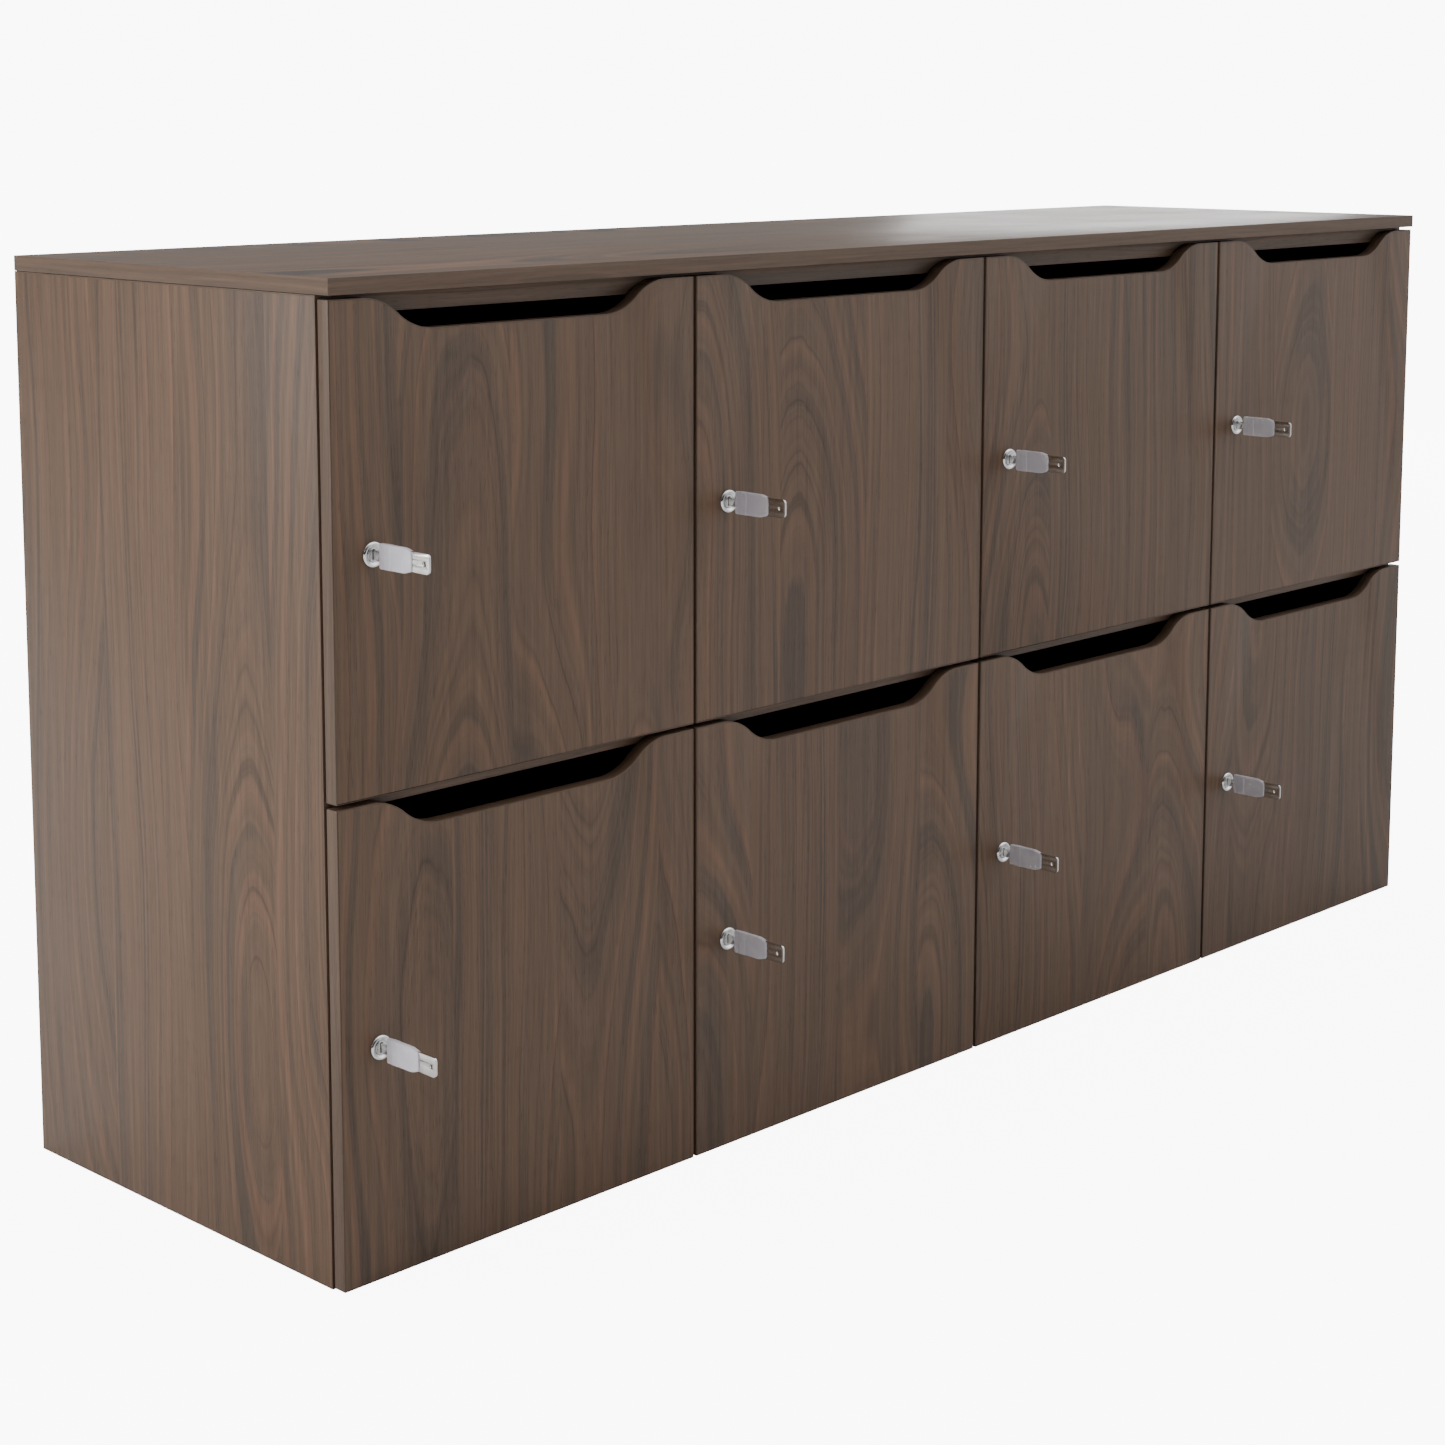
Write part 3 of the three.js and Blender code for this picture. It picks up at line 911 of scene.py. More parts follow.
@dataclass(frozen=True)
class Caps(Scatter):
    """Low round caps with a bevelled rim: bumpers and cover caps."""

    name: str = "round_caps"
    sizes: dict[str, float] = field(hash=False, default_factory=lambda: {
        "Radius": 8.5 * MM, "Height": 1.4 * MM})

    def form(self, net: Net, given: Sockets) -> Socket:
        """A flat disc with a shallow cone standing on it.

        Args:
            net: The tree's net.
            given: The tree's inputs.

        Returns:
            The cap.
        """
        rim = net.math("MULTIPLY", given["Height"], 0.6)
        crown_base = net.math("MULTIPLY", given["Radius"], 0.98)
        crown_top = net.math("MULTIPLY", given["Radius"], 0.82)
        disc = net.add("GeometryNodeMeshCone", {
            "Vertices": 32, "Radius Top": given["Radius"], "Radius Bottom": given["Radius"], "Depth": rim})
        crown = net.add("GeometryNodeMeshCone", {
            "Vertices": 32, "Radius Top": crown_top, "Radius Bottom": crown_base, "Depth": given["Height"]})
        both = net.add("GeometryNodeMeshBoolean", solver="EXACT", operation="UNION")
        net.tree.links.new(disc.outputs[0], both.inputs["Mesh 2"])
        net.tree.links.new(crown.outputs[0], both.inputs["Mesh 2"])
        return both.outputs[0]


@dataclass(frozen=True)
class Thread(Scatter):
    """A screw thread: one ridge wound along a sleeve, from the surface outwards."""

    name: str = "sleeve_thread"
    sizes: dict[str, float] = field(hash=False, default_factory=lambda: {
        "Radius": 8.5 * MM, "Length": 9.0 * MM, "Turns": 7.0, "Ridge": 0.45 * MM})

    def form(self, net: Net, given: Sockets) -> Socket:
        """A helix swept with a three-sided ridge.

        Args:
            net: The tree's net.
            given: The tree's inputs.

        Returns:
            The thread.
        """
        helix = net.add("GeometryNodeCurveSpiral", {
            "Resolution": 30, "Rotations": given["Turns"], "Start Radius": given["Radius"],
            "End Radius": given["Radius"], "Height": given["Length"]})
        ridge = net.add("GeometryNodeCurvePrimitiveCircle", {"Resolution": 3, "Radius": given["Ridge"]})
        swept = net.add("GeometryNodeCurveToMesh", {
            "Curve": helix.outputs[0], "Profile Curve": ridge.outputs[0], "Fill Caps": True})
        return swept.outputs[0]


SCREWS, CAPS, THREAD = Screws(), Caps(), Thread()
BACKWARDS = Vector((0, 1, 0))
LEFTWARDS, RIGHTWARDS = Vector((-1, 0, 0)), Vector((1, 0, 0))
UPWARDS, DOWNWARDS = Vector((0, 0, 1)), Vector((0, 0, -1))


# ---------- carcass ----------

@dataclass
class Board:
    """A laminated board in a carcass, with its edging."""

    node: str
    plane: Plane
    grain: Grain = Grain.SECOND
    finish: WoodGrain = LAMINATE
    edging: float = 1.0 * MM
    seam: float = 0.06 * MM
    ease: float = 0.45 * MM

    def spans(self) -> tuple[Point, Point, Point]:
        """The board's extent along its plane's two axes and through it."""
        low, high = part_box(self.node)
        return tuple((low[axis], high[axis]) for axis in self.plane.value)

    def banded(self, outline: Loop | None = None, holes: tuple[Hole, ...] = ()) -> None:
        """Makes the board with edging all round.

        Args:
            outline: Its outline; its box's if not given.
            holes: Holes in the board.
        """
        first, second, through = self.spans()
        outline = outline or rectangle(first, second)
        face = inset(outline, self.edging)
        core = Shell(self.node + "_board")
        core.plate(inset(face, self.seam), through, self.plane, self.seam * 2, holes, grain=self.grain)
        core.done(self.finish, "carcass", self.node)
        band = Shell(self.node + "_edging")
        band.plate(outline, through, self.plane, self.ease, (Hole(face),), self.seam, grain=self.grain)
        band.done(EDGING, "carcass")

    def fronted(self, outline: Loop, strips: list[tuple[Point, Point]], holes: tuple[Hole, ...] = ()) -> None:
        """Makes a board that has edging on its front edge only.

        Args:
            outline: Its outline behind the edging.
            strips: The extents of each edging strip in the board's plane.
            holes: Holes in the board.
        """
        *_, through = self.spans()
        core = Shell(self.node + "_board")
        core.plate(outline, through, self.plane, self.seam * 2, holes, grain=self.grain)
        core.done(self.finish, "carcass", self.node)
        band = Shell(self.node + "_edging")
        for first, second in strips:
            band.plate(rectangle(first, second), through, self.plane, self.ease, grain=self.grain)
        band.done(EDGING, "carcass")


@dataclass
class Carcass:
    """The fixed cabinet: slab, sides, panels, dividers, shelf and back."""

    fit: float = 0.3 * MM
    mortise_depth: float = 6.5 * MM
    mortise_below: float = 23 * MM
    mortise_above: float = 8 * MM
    mortise_half: float = 4 * MM
    cam_behind: float = 24.8 * MM
    screw_spacing: float = 130 * MM
    screw_margin: float = 8 * MM
    screw_sink: float = 1.1 * MM
    fitting_inset: float = 34 * MM
    fitting_radius: float = 8.6 * MM
    strike_side: float = 4 * MM
    strike_end: float = 12 * MM
    strike_corner: float = 3 * MM
    strike_thick: float = 0.9 * MM

    def mortises(self, through_face: float) -> tuple[Hole, ...]:
        """The pockets in a board's right face that the cams beside it turn into.

        Args:
            through_face: The x of the board's right face.

        Returns:
            One hole for each row.
        """
        pockets = []
        for row in ROWS:
            low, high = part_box(f"lock_body_{row}_1")
            door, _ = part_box(f"door_{row}_1")
            middle = (low.z + high.z) / 2
            cam_y = door.y + self.cam_behind
            loop = rectangle((cam_y - self.mortise_half, cam_y + self.mortise_half),
                             (middle - self.mortise_below, middle + self.mortise_above), 2 * MM)
            pockets.append(Hole(loop, through_face - self.mortise_depth))
        return tuple(pockets)

    def outer_boards(self) -> None:
        """The slab, the two sides, the upper and bottom panels and the back."""
        # The slab's top carries painted shade through its darker laminate.
        Board("top_slab", Plane.XY, Grain.FIRST, TOP_LAMINATE_PAINTED_SHADE).banded()
        left = Board("left_side", Plane.YZ)
        left.banded(holes=self.mortises(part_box("left_side")[1].x))
        Board("right_side", Plane.YZ).banded()
        for node in ("upper_panel", "bottom_panel"):
            board = Board(node, Plane.XY, Grain.FIRST)
            x, y, _ = board.spans()
            behind = (y[0] + board.edging + board.seam, y[1])
            board.fronted(rectangle(x, behind), [(x, (y[0], y[0] + board.edging))])
        low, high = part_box("back_panel")
        back = Shell("back_panel_board")
        back.plate(rectangle((low.x, high.x), (low.z, high.z)), (low.y, high.y), Plane.XZ, 0.2 * MM)
        back.done(BACK_BOARD, "carcass", "back_panel")

    def inner_boards(self) -> None:
        """The dividers and the shelf, half-lapped across each other."""
        shelf = Board("middle_shelf", Plane.XY, Grain.FIRST)
        x, y, z = shelf.spans()
        lap = (y[0] + y[1]) / 2
        front = y[0] + shelf.edging + shelf.seam
        outline = [(x[0], front), (x[1], front), (x[1], y[1])]
        for i in reversed(range(1, COLUMNS)):
            low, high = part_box(f"divider_{i}")
            right, left = high.x + self.fit, low.x - self.fit
            outline += [(right, y[1]), (right, lap), (left, lap), (left, y[1])]
        shelf.fronted(outline + [(x[0], y[1])], [(x, (y[0], y[0] + shelf.edging))])
        for i in range(1, COLUMNS):
            divider = Board(f"divider_{i}", Plane.YZ)
            dy, dz, dx = divider.spans()
            edge = dy[0] + divider.edging
            behind = edge + divider.seam
            under, over, deep = z[0] - self.fit, z[1] + self.fit, lap + self.fit
            outline = [(behind, dz[0]), (dy[1], dz[0]), (dy[1], dz[1]), (behind, dz[1]),
                       (behind, over), (deep, over), (deep, under), (behind, under)]
            strips = [((dy[0], edge), (dz[0], under)), ((dy[0], edge), (over, dz[1]))]
            divider.fronted(outline, strips, self.mortises(dx[1]))

    def fittings(self) -> None:
        """Back screws, and covers on the board fittings."""
        low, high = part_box("back_panel")
        shelf_low, shelf_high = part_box("middle_shelf")
        columns = [(sum(v[0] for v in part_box(f"divider_{i}")) / 2) for i in range(1, COLUMNS)]
        margin = self.screw_margin
        heights = [low.z + margin, (shelf_low.z + shelf_high.z) / 2, high.z - margin]
        face = high.y - self.screw_sink
        count = round((high.x - low.x) / self.screw_spacing)
        step = (high.x - low.x) / count
        spots = [Vector((low.x + step * (i + 0.5), face, z)) for z in heights for i in range(count)]
        rise = (high.z - low.z) / 6
        spots += [Vector((x, face, low.z + rise * i)) for x in columns for i in (1, 2, 4, 5)]
        SCREWS.at("back_panel_screws", [(spot, BACKWARDS) for spot in spots], HINGE_STEEL, "carcass")
        inner_low, inner_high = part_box("bottom_panel")
        ends = (inner_low.x + self.fitting_inset, inner_high.x - self.fitting_inset)
        depths = (inner_low.y + 2 * self.fitting_inset, inner_high.y - 2 * self.fitting_inset)
        upper_low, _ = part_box("upper_panel")
        faces = [(upper_low.z, DOWNWARDS), (shelf_low.z, DOWNWARDS), (inner_high.z, UPWARDS)]
        covers = [(Vector((x, y, z)), way) for x in ends for y in depths for z, way in faces]
        CAPS.at("fitting_covers", covers, CAP_PLASTIC, "carcass", Radius=self.fitting_radius)

    def strike_plates(self) -> None:
        """A slotted steel plate over each cam pocket, held by two screws."""
        plates, screws = Shell("strike_plates"), []
        side, end = self.strike_side, self.strike_end
        for node in ("left_side", *(f"divider_{i}" for i in range(1, COLUMNS))):
            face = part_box(node)[1].x
            for pocket in self.mortises(face):
                (y0, y1), (z0, z1) = [(min(line), max(line)) for line in zip(*pocket.loop)]
                outline = rectangle((y0 - side, y1 + side), (z0 - end, z1 + end), self.strike_corner)
                plates.plate(outline, (face + 0.02 * MM, face + self.strike_thick), Plane.YZ, 0.25 * MM,
                             (Hole(inset(pocket.loop, -self.fit)),), 0.15 * MM)
                for z in (z0 - end / 2, z1 + end / 2):
                    screws.append((Vector((face + 0.1 * MM, (y0 + y1) / 2, z)), RIGHTWARDS))
        plates.done(HINGE_STEEL, "carcass")
        SCREWS.at("strike_plate_screws", screws, HINGE_STEEL, "carcass", Radius=2.9 * MM, Height=1.1 * MM)

    def build(self) -> None:
        """Builds the whole cabinet."""
        self.outer_boards()
        self.inner_boards()
        self.fittings()
        self.strike_plates()


# ---------- doors ----------

@dataclass
class Door:
    """One door: a laminated board with edging, a lock bore, hinge cups and bumpers."""

    tag: str
    grip_start: float = 33 * MM
    grip_run: float = 72 * MM
    grip_depth: float = 26.8 * MM
    arc_steps: int = 18
    corner: float = 0.8 * MM
    edging: float = 1.0 * MM
    seam: float = 0.06 * MM
    ease: float = 0.5 * MM
    cup_bore: float = 13.15 * MM
    cup_in: float = 17 * MM
    cup_floor: float = 3 * MM
    hinge_drop: float = 80 * MM
    lock_bore: float = 9.3 * MM
    bumper_in: Point = (8.5 * MM, 14 * MM)

    def __post_init__(self) -> None:
        """Reads the door's place from the frame."""
        self.node = f"door_{self.tag}"
        self.low, self.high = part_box(self.node)
        lock_low, lock_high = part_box(f"lock_body_{self.tag}")
        self.lock_axis = ((lock_low.x + lock_high.x) / 2, (lock_low.z + lock_high.z) / 2)
        self.hinge_heights = (self.low.z + self.hinge_drop, self.high.z - self.hinge_drop)

    def outline(self) -> Loop:
        """The door's front outline, with the curved opening in its top edge.

        Returns:
            An anticlockwise outline in x and z.
        """
        run, depth = self.grip_run, self.grip_depth
        radius = (run ** 2 + depth ** 2) / (4 * depth)
        turn = 2 * math.atan(depth / run)
        up = math.pi / 2
        x0, x1, z0, z1 = self.low.x, self.high.x, self.low.z, self.high.z
        crest, trough = z1 - radius, z1 - depth + radius
        left, right = x0 + self.grip_start, x1 - self.grip_start
        c, steps = self.corner, self.arc_steps
        return [
            *arc((x0 + c, z0 + c), c, -2 * up, -up, 4), *arc((x1 - c, z0 + c), c, -up, 0, 4),
            *arc((x1 - c, z1 - c), c, 0, up, 4),
            *arc((right, crest), radius, up, up + turn, steps),
            *arc((right - run, trough), radius, turn - up, -up, steps)[1:],
            *arc((left + run, trough), radius, -up, -up - turn, steps),
            *arc((left, crest), radius, up - turn, up, steps)[1:],
            *arc((x0 + c, z1 - c), c, up, 2 * up, 4),
        ]

    def board(self) -> None:
        """The board with its bores, and the edging that follows its whole outline."""
        outline = self.outline()
        face = inset(outline, self.edging)
        span = (self.low.y, self.high.y)
        cups = [Hole(circle((self.high.x - self.cup_in, z), self.cup_bore), self.low.y + self.cup_floor)
                for z in self.hinge_heights]
        holes = (Hole(circle(self.lock_axis, self.lock_bore)), *cups)
        core = Shell(self.node + "_board")
        core.plate(inset(face, self.seam), span, Plane.XZ, self.seam * 2, holes)
        core.done(LAMINATE, self.node, self.node)
        band = Shell(self.node + "_edging")
        band.plate(outline, span, Plane.XZ, self.ease, (Hole(face),), self.seam)
        band.done(EDGING, self.node)

    def bumpers(self) -> None:
        """Two soft pads near the lock edge that land on the carcass."""
        x, inset_z = self.low.x + self.bumper_in[0], self.bumper_in[1]
        spots = [(Vector((x, self.high.y, z)), BACKWARDS)
                 for z in (self.low.z + inset_z, self.high.z - inset_z)]
        CAPS.at(f"bumpers_{self.tag}", spots, BUMPER_PLASTIC, self.node, Radius=2.6 * MM, Height=1.9 * MM)

    def build(self) -> None:
        """Builds the door."""
        self.board()
        self.bumpers()


@dataclass
class CamLock:
    """The lock in a door: rose, threaded sleeve, nut, plug, cam and cam screw."""

    door: Door
    short_cam: bool
    rose: tuple[Point, ...] = (
        (6.3, -0.3), (6.3, -0.9), (6.6, -1.1), (7.2, -1.35), (7.7, -1.9), (8.1, -2.32), (8.5, -2.46),
        (9.0, -2.44), (9.5, -2.25), (10.0, -1.8), (10.35, -1.25), (10.5, -0.8), (10.5, -0.3))
    sleeve_core: float = 8.45
    sleeve_bore: float = 6.3
    sleeve_back: float = 23.5
    nut_across: float = 24.0
    nut_bore: float = 9.05
    nut: Point = (13.2, 18.0)
    thread_lead: float = 4.0
    plug_radius: float = 6.0
    plug_face: float = -1.4
    plug_tail: float = 24.2
    keyway: tuple[float, float, float] = (1.3, 4.3, 20.0)
    cam: Point = (23.8, 25.8)
    cam_hub: float = 7.0
    cam_tip: float = 4.5
    cam_corner: float = 2.0
    cam_long: float = 38.0
    cam_short: float = 29.5

    def depth(self, span: Point) -> Point:
        """A span behind the door's front, in millimetres, as places in the object."""
        return tuple(self.door.low.y + d * MM for d in span)

    def turned(self, shell: Shell, profile: list[Point], closed: bool = False) -> None:
        """Adds a turned body about the lock's axis, from a profile in millimetres."""
        y = self.door.low.y
        shell.turned([(r * MM, y + d * MM) for r, d in profile], self.door.lock_axis, Plane.XZ, closed)

    def housing(self) -> None:
        """The rose, and the sleeve with its thread and nut."""
        tag, axis = self.door.tag, self.door.lock_axis
        rose = Shell(f"lock_rose_{tag}")
        self.turned(rose, list(self.rose), closed=True)
        rose.done(CHROME, self.door.node, f"lock_body_{tag}")
        sleeve = Shell(f"lock_sleeve_{tag}")
        core, bore, back = self.sleeve_core, self.sleeve_bore, self.sleeve_back
        self.turned(sleeve, [(bore, -0.25), (core, -0.25), (core, back - 0.5), (core - 0.5, back),
                             (bore + 0.2, back), (bore, back - 0.2)], closed=True)
        sleeve.done(SATIN_CHROME, self.door.node)
        start = Vector((axis[0], self.door.low.y + (self.nut[1] - self.thread_lead) * MM, axis[1]))
        THREAD.at(f"lock_thread_{tag}", [(start, BACKWARDS)], SATIN_CHROME, self.door.node)
        hexagon = circle((0, 0), self.nut_across / 2 / math.cos(math.pi / 6), 6)
        nut = Shell(f"lock_nut_{tag}")
        nut.plate(scaled(hexagon, axis), self.depth(self.nut), Plane.XZ, 0.6 * MM,
                  (Hole(circle(axis, self.nut_bore * MM)),), 0.5 * MM)
        nut.done(SATIN_CHROME, self.door.node)

    def plug(self) -> None:
        """The plug with its keyway, and the cam held on its tail by a screw."""
        tag, axis, body = self.door.tag, self.door.lock_axis, f"plug_{self.door.tag}"
        half_w, half_h, deep = self.keyway
        slot = rectangle((-half_w, half_w), (-half_h, half_h), 0.6)
        floor = self.door.low.y + deep * MM
        plug = Shell(f"lock_barrel_{tag}")
        span = self.depth((self.plug_face, self.plug_tail))
        plug.plate(circle(axis, self.plug_radius * MM), span, Plane.XZ, 0.45 * MM,
                   (Hole(scaled(slot, axis), floor, from_near=True),), 0.3 * MM)
        plug.done(SATIN_CHROME, body, f"lock_plug_{tag}")
        long = self.cam_short if self.short_cam else self.cam_long
        tip, corner = self.cam_tip, self.cam_corner
        side, end = tip - corner, -long + corner
        outline = [*arc((0, 0), self.cam_hub, 0, math.pi, 16),
                   *arc((-side, end), corner, math.pi, 1.5 * math.pi, 4),
                   *arc((side, end), corner, 1.5 * math.pi, 2 * math.pi, 4)]
        cam = Shell(f"lock_cam_{tag}")
        cam.plate(scaled(outline, axis), self.depth(self.cam), Plane.XZ, 0.3 * MM)
        cam.done(SATIN_CHROME, body)
        spot = Vector((axis[0], self.door.low.y + self.cam[1] * MM, axis[1]))
        SCREWS.at(f"cam_screw_{tag}", [(spot, BACKWARDS)], HINGE_STEEL, body,
                  Radius=4.3 * MM, Height=2.2 * MM, Recess=2.8 * MM)

    def build(self) -> None:
        """Builds the lock."""
        self.housing()
        self.plug()


@dataclass
class Key:
    """A flat key with a clear moulded grip, drawn in millimetres from the door's front."""

    door: Door
    half_thick: float = 1.0
    blade_half: float = 4.0
    blade_end: float = 19.5
    shoulder: float = -13.0
    bow_half: float = 8.2
    bow_far: float = -69.0
    ring_y: float = -62.5
    ring_radius: float = 1.8
    grip_near: float = -10.0
    grip_far: float = -49.0
    grip_half: float = 10.2
    grip_thick: float = 2.25
    grip_taper: Point = (10.0, 2.8)
    band: Point = (-24.0, -15.5)
    band_rise: float = 0.4
    end_rounding: float = 1.2
    stations: int = 96
    bow_corner: float = 3.5
    shoulder_run: float = 2.0
    cut_step: float = 3.1
    cuts: tuple[float, ...] = (1.4, 0.6, 1.7, 1.0, 0.5)

    def bitting(self) -> Loop:
        """The cut edge of the blade, from its tip back.

        Returns:
            Points along the blade's upper edge.
        """
        step = self.cut_step
        edge = [(self.blade_end, self.blade_half - 2.4), (self.blade_end - 1.8, self.blade_half - 0.2)]
        for i, deep in enumerate(self.cuts):
            middle = self.blade_end - 3.6 - i * step
            edge += [(middle + 0.5, self.blade_half - deep), (middle - 0.5, self.blade_half - deep),
                     (middle - step / 2, self.blade_half - 0.15)]
        return edge

    def build(self) -> None:
        """Builds the metal key and the grip around its bow."""
        origin = (self.door.low.y, self.door.lock_axis[1])
        centre = self.door.lock_axis[0]
        body = f"key_{self.door.tag}"
        quarter = math.pi / 2
        h, corner, neck = self.bow_half, self.bow_corner, self.shoulder - self.shoulder_run
        side, end = h - corner, self.bow_far + corner
        outline = [
            (self.shoulder, -self.blade_half), (self.blade_end - 1.0, -self.blade_half),
            (self.blade_end, -self.blade_half + 1.0), *self.bitting(),
            (self.shoulder, self.blade_half), (neck, h),
            *arc((end, side), corner, quarter, 2 * quarter, 6),
            *arc((end, -side), corner, 2 * quarter, 3 * quarter, 6), (neck, -h)]
        span = (centre - self.half_thick * MM, centre + self.half_thick * MM)
        blank = Shell(f"key_blank_{self.door.tag}")
        ring = Hole(scaled(circle((self.ring_y, 0), self.ring_radius, 24), origin))
        blank.plate(scaled(outline, origin), span, Plane.YZ, 0.22 * MM, (ring,), 0.25 * MM)
        blank.done(KEY_STEEL, body, f"key_{self.door.tag}")
        self.grip(body)

    def half_height(self, y: float) -> float:
        """Half the grip's height at a place along it.

        Args:
            y: The place.

        Returns:
            The half height, drawn in at both ends.
        """
        length, drop = self.grip_taper
        into_far = max(0.0, 1 - (y - self.grip_far) / length)
        end = max(0.0, 1 - min(y - self.grip_far, self.grip_near - y) / self.end_rounding)
        return self.grip_half - drop * into_far ** 1.4 - 0.7 * end ** 2

    def half_thickness(self, y: float) -> float:
        """Half the grip's thickness at a place along it, with its raised band.

        Args:
            y: The place.

        Returns:
            The half thickness.
        """
        end = min(self.grip_near - y, y - self.grip_far)
        thick = self.grip_thick - 0.55 * max(0.0, 1 - end / self.end_rounding) ** 2
        into_band = max(0.0, min(1.0, (y - self.band[0]) / 0.9, (self.band[1] - y) / 0.9))
        return thick + self.band_rise * into_band * into_band * (3 - 2 * into_band)

    def grip(self, body: str) -> None:
        """The moulded grip: a loft with soft corners, and a raised band for the fingers.

        Args:
            body: The body that it rides on.
        """
        cx, cz = self.door.lock_axis
        sections = []
        for i in range(self.stations + 1):
            y = self.grip_far + (self.grip_near - self.grip_far) * i / self.stations
            half, thick = self.half_height(y), self.half_thickness(y)
            loop = rectangle((-thick, thick), (-half, half), 1.1, 5)
            sections.append((self.door.low.y + y * MM, scaled(loop, (cx, cz))))
        grip = Shell(f"key_grip_{self.door.tag}")
        grip.loft(sections, Plane.XZ)
        grip.done(CLEAR_GRIP, body)


@dataclass
class Hinge:
    """A concealed hinge, drawn in millimetres from the door's right front edge."""

    door: Door
    height: float
    upper: bool
    arm_pin: Point = (-24.0, 11.5)
    link_path: tuple[Point, ...] = ((-24.0, 11.5), (-14.5, 5.6), (-6.5, 8.4))
    cup_pin: Point = (-7.5, 9.4)
    sheet: float = 1.2
    arm_half: float = 5.0
    link_half: float = 2.9
    cup_x: float = -17.0
    cup_radius: float = 12.9
    cup_wall: float = 0.8
    wing_half: float = 24.0
    tail_half: float = 8.0
    wing_span: Point = (34.0, 48.0)
    tail_span: Point = (53.0, 74.0)
    plate_screw: Point = (41.0, 16.0)
    arm_screws: Point = (45.0, 56.0)
    cup_screw: Point = (-3.0, 19.0)
    cup_span: Point = (3.2, 14.0)
    cup_flange: float = 0.95

    def __post_init__(self) -> None:
        """Finds the wall that the arm is fixed to, and the piece's place name."""
        self.origin = (self.door.high.x, self.door.low.y)
        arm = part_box(f"hinge_arm_{self.door.tag}")
        self.wall = (arm[1].x - self.door.high.x) / MM
        self.label = f"{self.door.tag}_{'top' if self.upper else 'bottom'}"

    def flat(self, shell: Shell, outline: Loop, low: float, high: float, ease: float = 0.2) -> None:
        """Adds a body drawn in x and y, between two heights from the hinge's centre."""
        span = (self.height + low * MM, self.height + high * MM)
        shell.plate(scaled(outline, self.origin), span, Plane.XY, ease * MM)

    def arm(self) -> None:
        """The mounting plate, the saddle on it and the formed arm."""
        wall, (px, py), half = self.wall, self.arm_pin, self.arm_half
        node = (f"hinge_arm_{self.door.tag}",) if self.upper else ()
        plate = Shell(f"hinge_plate_{self.label}")
        wing, tail = self.wing_half, self.tail_half
        (wing_near, wing_far), (tail_near, tail_far) = self.wing_span, self.tail_span
        outline = [(wing_near, -wing), (wing_far, -wing), (tail_near, -tail), (tail_far, -tail),
                   (tail_far, tail), (tail_near, tail), (wing_far, wing), (wing_near, wing)]
        x = self.origin[0]
        centre = (self.origin[1], self.height)
        screw_y, screw_z = self.plate_screw
        holes = tuple(Hole(scaled(circle((screw_y, z), 2.4, 20), centre)) for z in (-screw_z, screw_z))
        plate.plate(scaled(outline, centre), (x + (wall - 2.2) * MM, x + (wall + 0.25) * MM), Plane.YZ,
                    0.4 * MM, holes, 0.3 * MM)
        plate.done(HINGE_STEEL, "carcass")
        places = [(wall - 2.0, screw_y, z) for z in (-screw_z, screw_z)]
        places += [(wall - 11.6, y, 0) for y in self.arm_screws]
        spots = [(Vector((x + dx * MM, centre[0] + dy * MM, centre[1] + dz * MM)), LEFTWARDS)
                 for dx, dy, dz in places]
        SCREWS.at(f"hinge_plate_screws_{self.label}", spots, HINGE_STEEL, "carcass",
                  Radius=3.3 * MM, Height=1.4 * MM)
        arm = Shell(f"hinge_arm_body_{self.label}")
        spine = [(wall - 10.4, 63), (wall - 11.4, 38), (px - 2.0, 26), (px - 2.0, py + 3.4)]
        web = spine + [(px - 0.8, py + 3.4), (px - 0.8, 26.5), (wall - 10.2, 38.5), (wall - 9.2, 63)]
        cheek = [*arc((px, py), 3.0, math.pi, 2 * math.pi, 10), (px + 3.0, 20), (wall - 5, 33),
                 (wall - 2.4, 36), (wall - 2.4, 66), (wall - 10.4, 63), (wall - 11.4, 38), (px - 3.0, 26)]
        self.flat(arm, web, -half + self.sheet, half - self.sheet, 0.15)
        for low in (-half, half - self.sheet):
            self.flat(arm, cheek, low, low + self.sheet)
        pin = (self.origin[0] + px * MM, self.origin[1] + py * MM)
        ends = [(0.0, -half - 0.6), (1.3, -half - 0.5), (1.6, -half - 0.1), (1.6, half + 0.1),
                (1.3, half + 0.5), (0.0, half + 0.6)]
        arm.turned([(r * MM, self.height + z * MM) for r, z in ends], pin, Plane.XY, sides=20)
        arm.done(HINGE_STEEL, "carcass", *node)

    def link(self) -> None:
        """The bent strap that joins the arm to the cup."""
        node = (f"hinge_link_{self.door.tag}",) if self.upper else ()
        link = Shell(f"hinge_strap_{self.label}")
        half = self.link_half
        self.flat(link, strip(list(self.link_path), 0.85), -half, half, 0.2)
        self.flat(link, circle(self.arm_pin, 2.3, 24), -half - 0.4, half + 0.4, 0.2)
        self.flat(link, circle(self.link_path[-1], 1.35, 20), -half - 1.6, half + 1.6, 0.2)
        link.done(HINGE_STEEL, f"link_{self.door.tag}", *node)

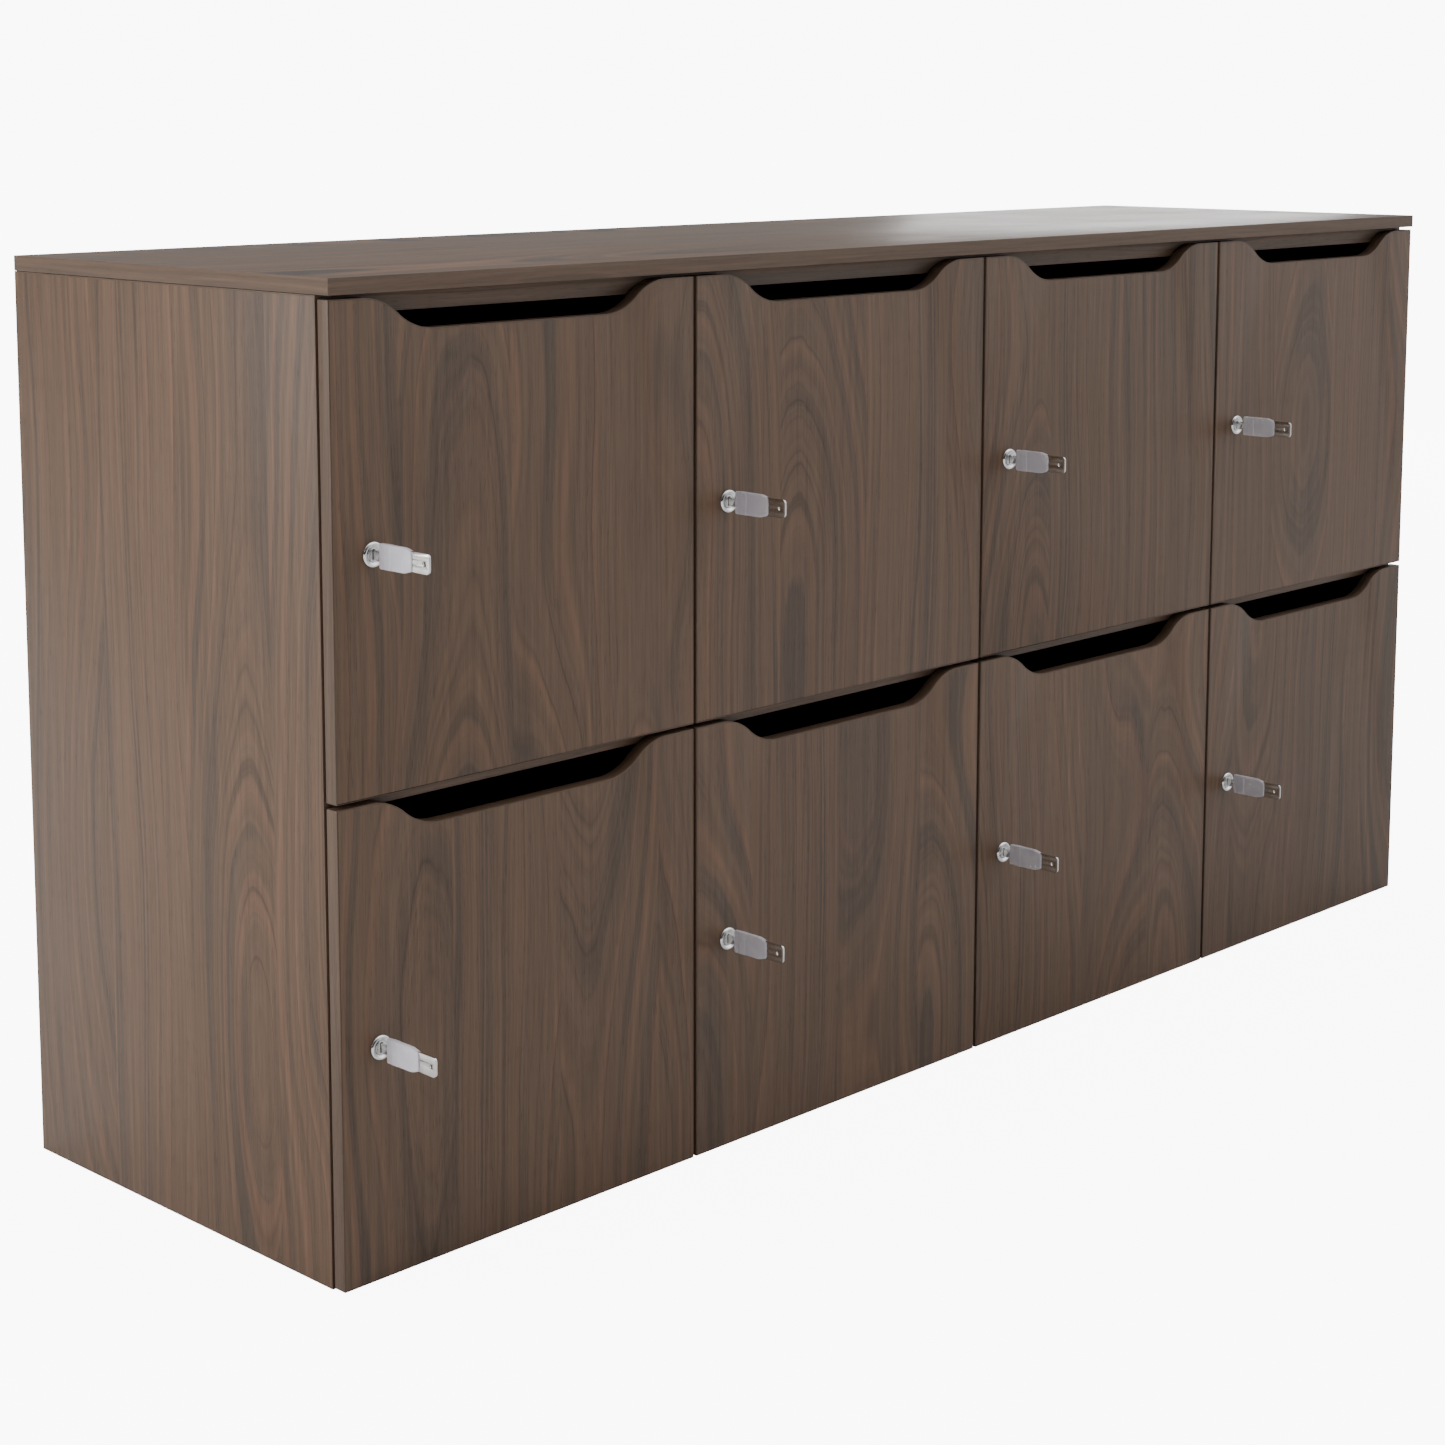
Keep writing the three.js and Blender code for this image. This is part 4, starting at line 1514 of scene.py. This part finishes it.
    def cup(self) -> None:
        """The pressed cup in the door, with its flange, pin and screws."""
        y, radius, wall = self.door.low.y, self.cup_radius, self.cup_wall
        centre = (self.origin[0] + self.cup_x * MM, self.height)
        floor, mouth = self.cup_span
        cup = Shell(f"hinge_cup_{self.label}")
        profile = [(0, floor), (radius - 1.2, floor), (radius, floor + 1.2), (radius, mouth - 1.0),
                   (radius - wall, mouth - 1.0), (radius - wall, floor + 1.6), (radius - 1.8, floor + wall),
                   (0, floor + wall)]
        cup.turned([(r * MM, y + d * MM) for r, d in profile], centre, Plane.XZ)
        outline = scaled(rectangle((-14.0, 12.6), (-25, 25), 8.5, 8), centre)
        cup.plate(outline, (y + (mouth - self.cup_flange) * MM, y + mouth * MM), Plane.XZ, 0.35 * MM,
                  (Hole(circle(centre, (radius - wall) * MM, 48)),), 0.3 * MM)
        pin = (self.origin[0] + self.cup_pin[0] * MM, y + self.cup_pin[1] * MM)
        reach = 8.2
        ends = [(0, -reach), (1.1, -reach), (1.1, reach), (0, reach)]
        cup.turned([(r * MM, self.height + z * MM) for r, z in ends], pin, Plane.XY, sides=18)
        cup.done(HINGE_STEEL, self.door.node)
        aside, apart = self.cup_screw
        spots = [(Vector((centre[0] + aside * MM, y + (mouth - 0.9) * MM, self.height + z * MM)), BACKWARDS)
                 for z in (-apart, apart)]
        SCREWS.at(f"hinge_cup_screws_{self.label}", spots, HINGE_STEEL, self.door.node,
                  Radius=3.2 * MM, Height=1.3 * MM)

    def build(self) -> None:
        """Builds the hinge."""
        self.arm()
        self.link()
        self.cup()


# ---------- studio ----------

@dataclass(frozen=True)
class Softbox:
    """A square soft light: its name, place, aim, side length and power in watts."""

    name: str
    at: tuple[float, float, float]
    towards: tuple[float, float, float]
    size: float
    power: float

    def build(self) -> None:
        """Builds the light."""
        lamp = bpy.data.lights.new(self.name, "AREA")
        lamp.size, lamp.energy = self.size, self.power
        holder = bpy.data.objects.new(self.name, lamp)
        holder.location = self.at
        way = Vector(self.towards) - Vector(self.at)
        holder.rotation_euler = way.to_track_quat("-Z", "Y").to_euler()
        bpy.context.scene.collection.objects.link(holder)


@dataclass
class Studio:
    """A pale floor, soft lights and the camera."""

    floor_half: float = 60.0
    floor_tone: float = 0.8
    zenith: float = 1.85
    horizon: float = 0.78
    flags: tuple[tuple[tuple[float, float, float], float], ...] = (
        ((-0.70, -0.70, 0.12), 0.05), ((0.45, 0.89, 0.0), 0.32))
    softboxes: tuple[Softbox, ...] = (
        Softbox("left_softbox", (-3.8, 0.9, 1.6), (-0.6, 0.0, 0.4), 2.2, 80.0),
        Softbox("back_softbox", (4.6, 2.9, 1.2), (0.6, 0.0, 0.8), 1.3, 26.0))
    floor_glow: float = 8.8
    backdrop: float = 9.5
    camera_at: tuple[float, float, float] = (-2.0768, -1.8674, 0.9454)
    camera_yaw: float = 45.472
    camera_pitch: float = 7.574
    lens: float = 67.89
    shift: Point = (0.0195, -0.18)

    def floor(self) -> None:
        """A wide matt floor with a faint mottle."""
        data = bpy.data.meshes.new("floor")
        half, drop = self.floor_half, -0.0005
        data.from_pydata([(-half, -half, drop), (half, -half, drop), (half, half, drop), (-half, half, drop)],
                         [], [(0, 1, 2, 3)])
        paint = bpy.data.materials.new("studio_floor")
        paint.use_nodes = True
        net, shader = Net(paint.node_tree), paint.node_tree.nodes["Principled BSDF"]
        shader.inputs["Roughness"].default_value = 0.9
        where = net.add("ShaderNodeTexCoord").outputs["Object"]
        tone = self.floor_tone
        mottle = net.mix(net.noise(where, "3D", 3.0), (tone, tone, tone, 1), (tone + 0.02,) * 3 + (1,))
        net.tree.links.new(mottle, shader.inputs["Base Color"])
        shader.inputs["Emission Color"].default_value = (1, 1, 1, 1)
        seen = net.add("ShaderNodeLightPath").outputs["Is Camera Ray"]
        glow = net.math("MULTIPLY", seen, self.floor_glow)
        net.tree.links.new(glow, shader.inputs["Emission Strength"])
        data.materials.append(paint)
        floor = bpy.data.objects.new("floor", data)
        bpy.context.scene.collection.objects.link(floor)

    def build(self) -> None:
        """Builds the floor, the sky, the lights and the camera."""
        self.floor()
        world = bpy.data.worlds.new("studio")
        world.use_nodes = True
        net, sky = Net(world.node_tree), world.node_tree.nodes["Background"]
        sky.inputs["Color"].default_value = (1, 1, 1, 1)
        way = net.add("ShaderNodeTexCoord").outputs["Generated"]
        height = net.add("ShaderNodeSeparateXYZ", {0: way}).outputs[2]
        dome = net.ramp(height, -0.1, 0.75, self.horizon, self.zenith)
        for flag, shade in self.flags:
            facing = net.add("ShaderNodeVectorMath", {0: way, 1: flag}, operation="DOT_PRODUCT")
            dome = net.math("MULTIPLY", dome, net.ramp(facing.outputs["Value"], 0.15, 0.8, 1.0, shade))
        seen = net.add("ShaderNodeLightPath").outputs["Is Camera Ray"]
        backdrop = net.math("MULTIPLY", seen, self.backdrop)
        hidden = net.math("MULTIPLY", net.math("SUBTRACT", 1.0, seen), dome)
        net.tree.links.new(net.math("ADD", backdrop, hidden), sky.inputs["Strength"])
        bpy.context.scene.world = world
        for softbox in self.softboxes:
            softbox.build()
        lens = bpy.data.cameras.new("camera")
        lens.lens, lens.sensor_width = self.lens, 36.0
        lens.shift_x, lens.shift_y = self.shift
        lens.clip_start, lens.clip_end = 0.05, 200.0
        camera = bpy.data.objects.new("camera", lens)
        camera.location = self.camera_at
        camera.rotation_euler = (math.radians(90 - self.camera_pitch), 0, -math.radians(self.camera_yaw))
        bpy.context.scene.collection.objects.link(camera)
        bpy.context.scene.camera = camera


def main() -> None:
    """Builds the lockers and the studio round them."""
    logging.basicConfig(level=logging.INFO, format="%(message)s")
    Studio().build()
    Carcass().build()
    for row in ROWS:
        for column in range(1, COLUMNS + 1):
            door = Door(f"{row}_{column}")
            door.build()
            CamLock(door, short_cam=column == 1).build()
            Key(door).build()
            for upper, height in zip((False, True), door.hinge_heights):
                Hinge(door, height, upper).build()


if __name__ == "__main__":
    main()
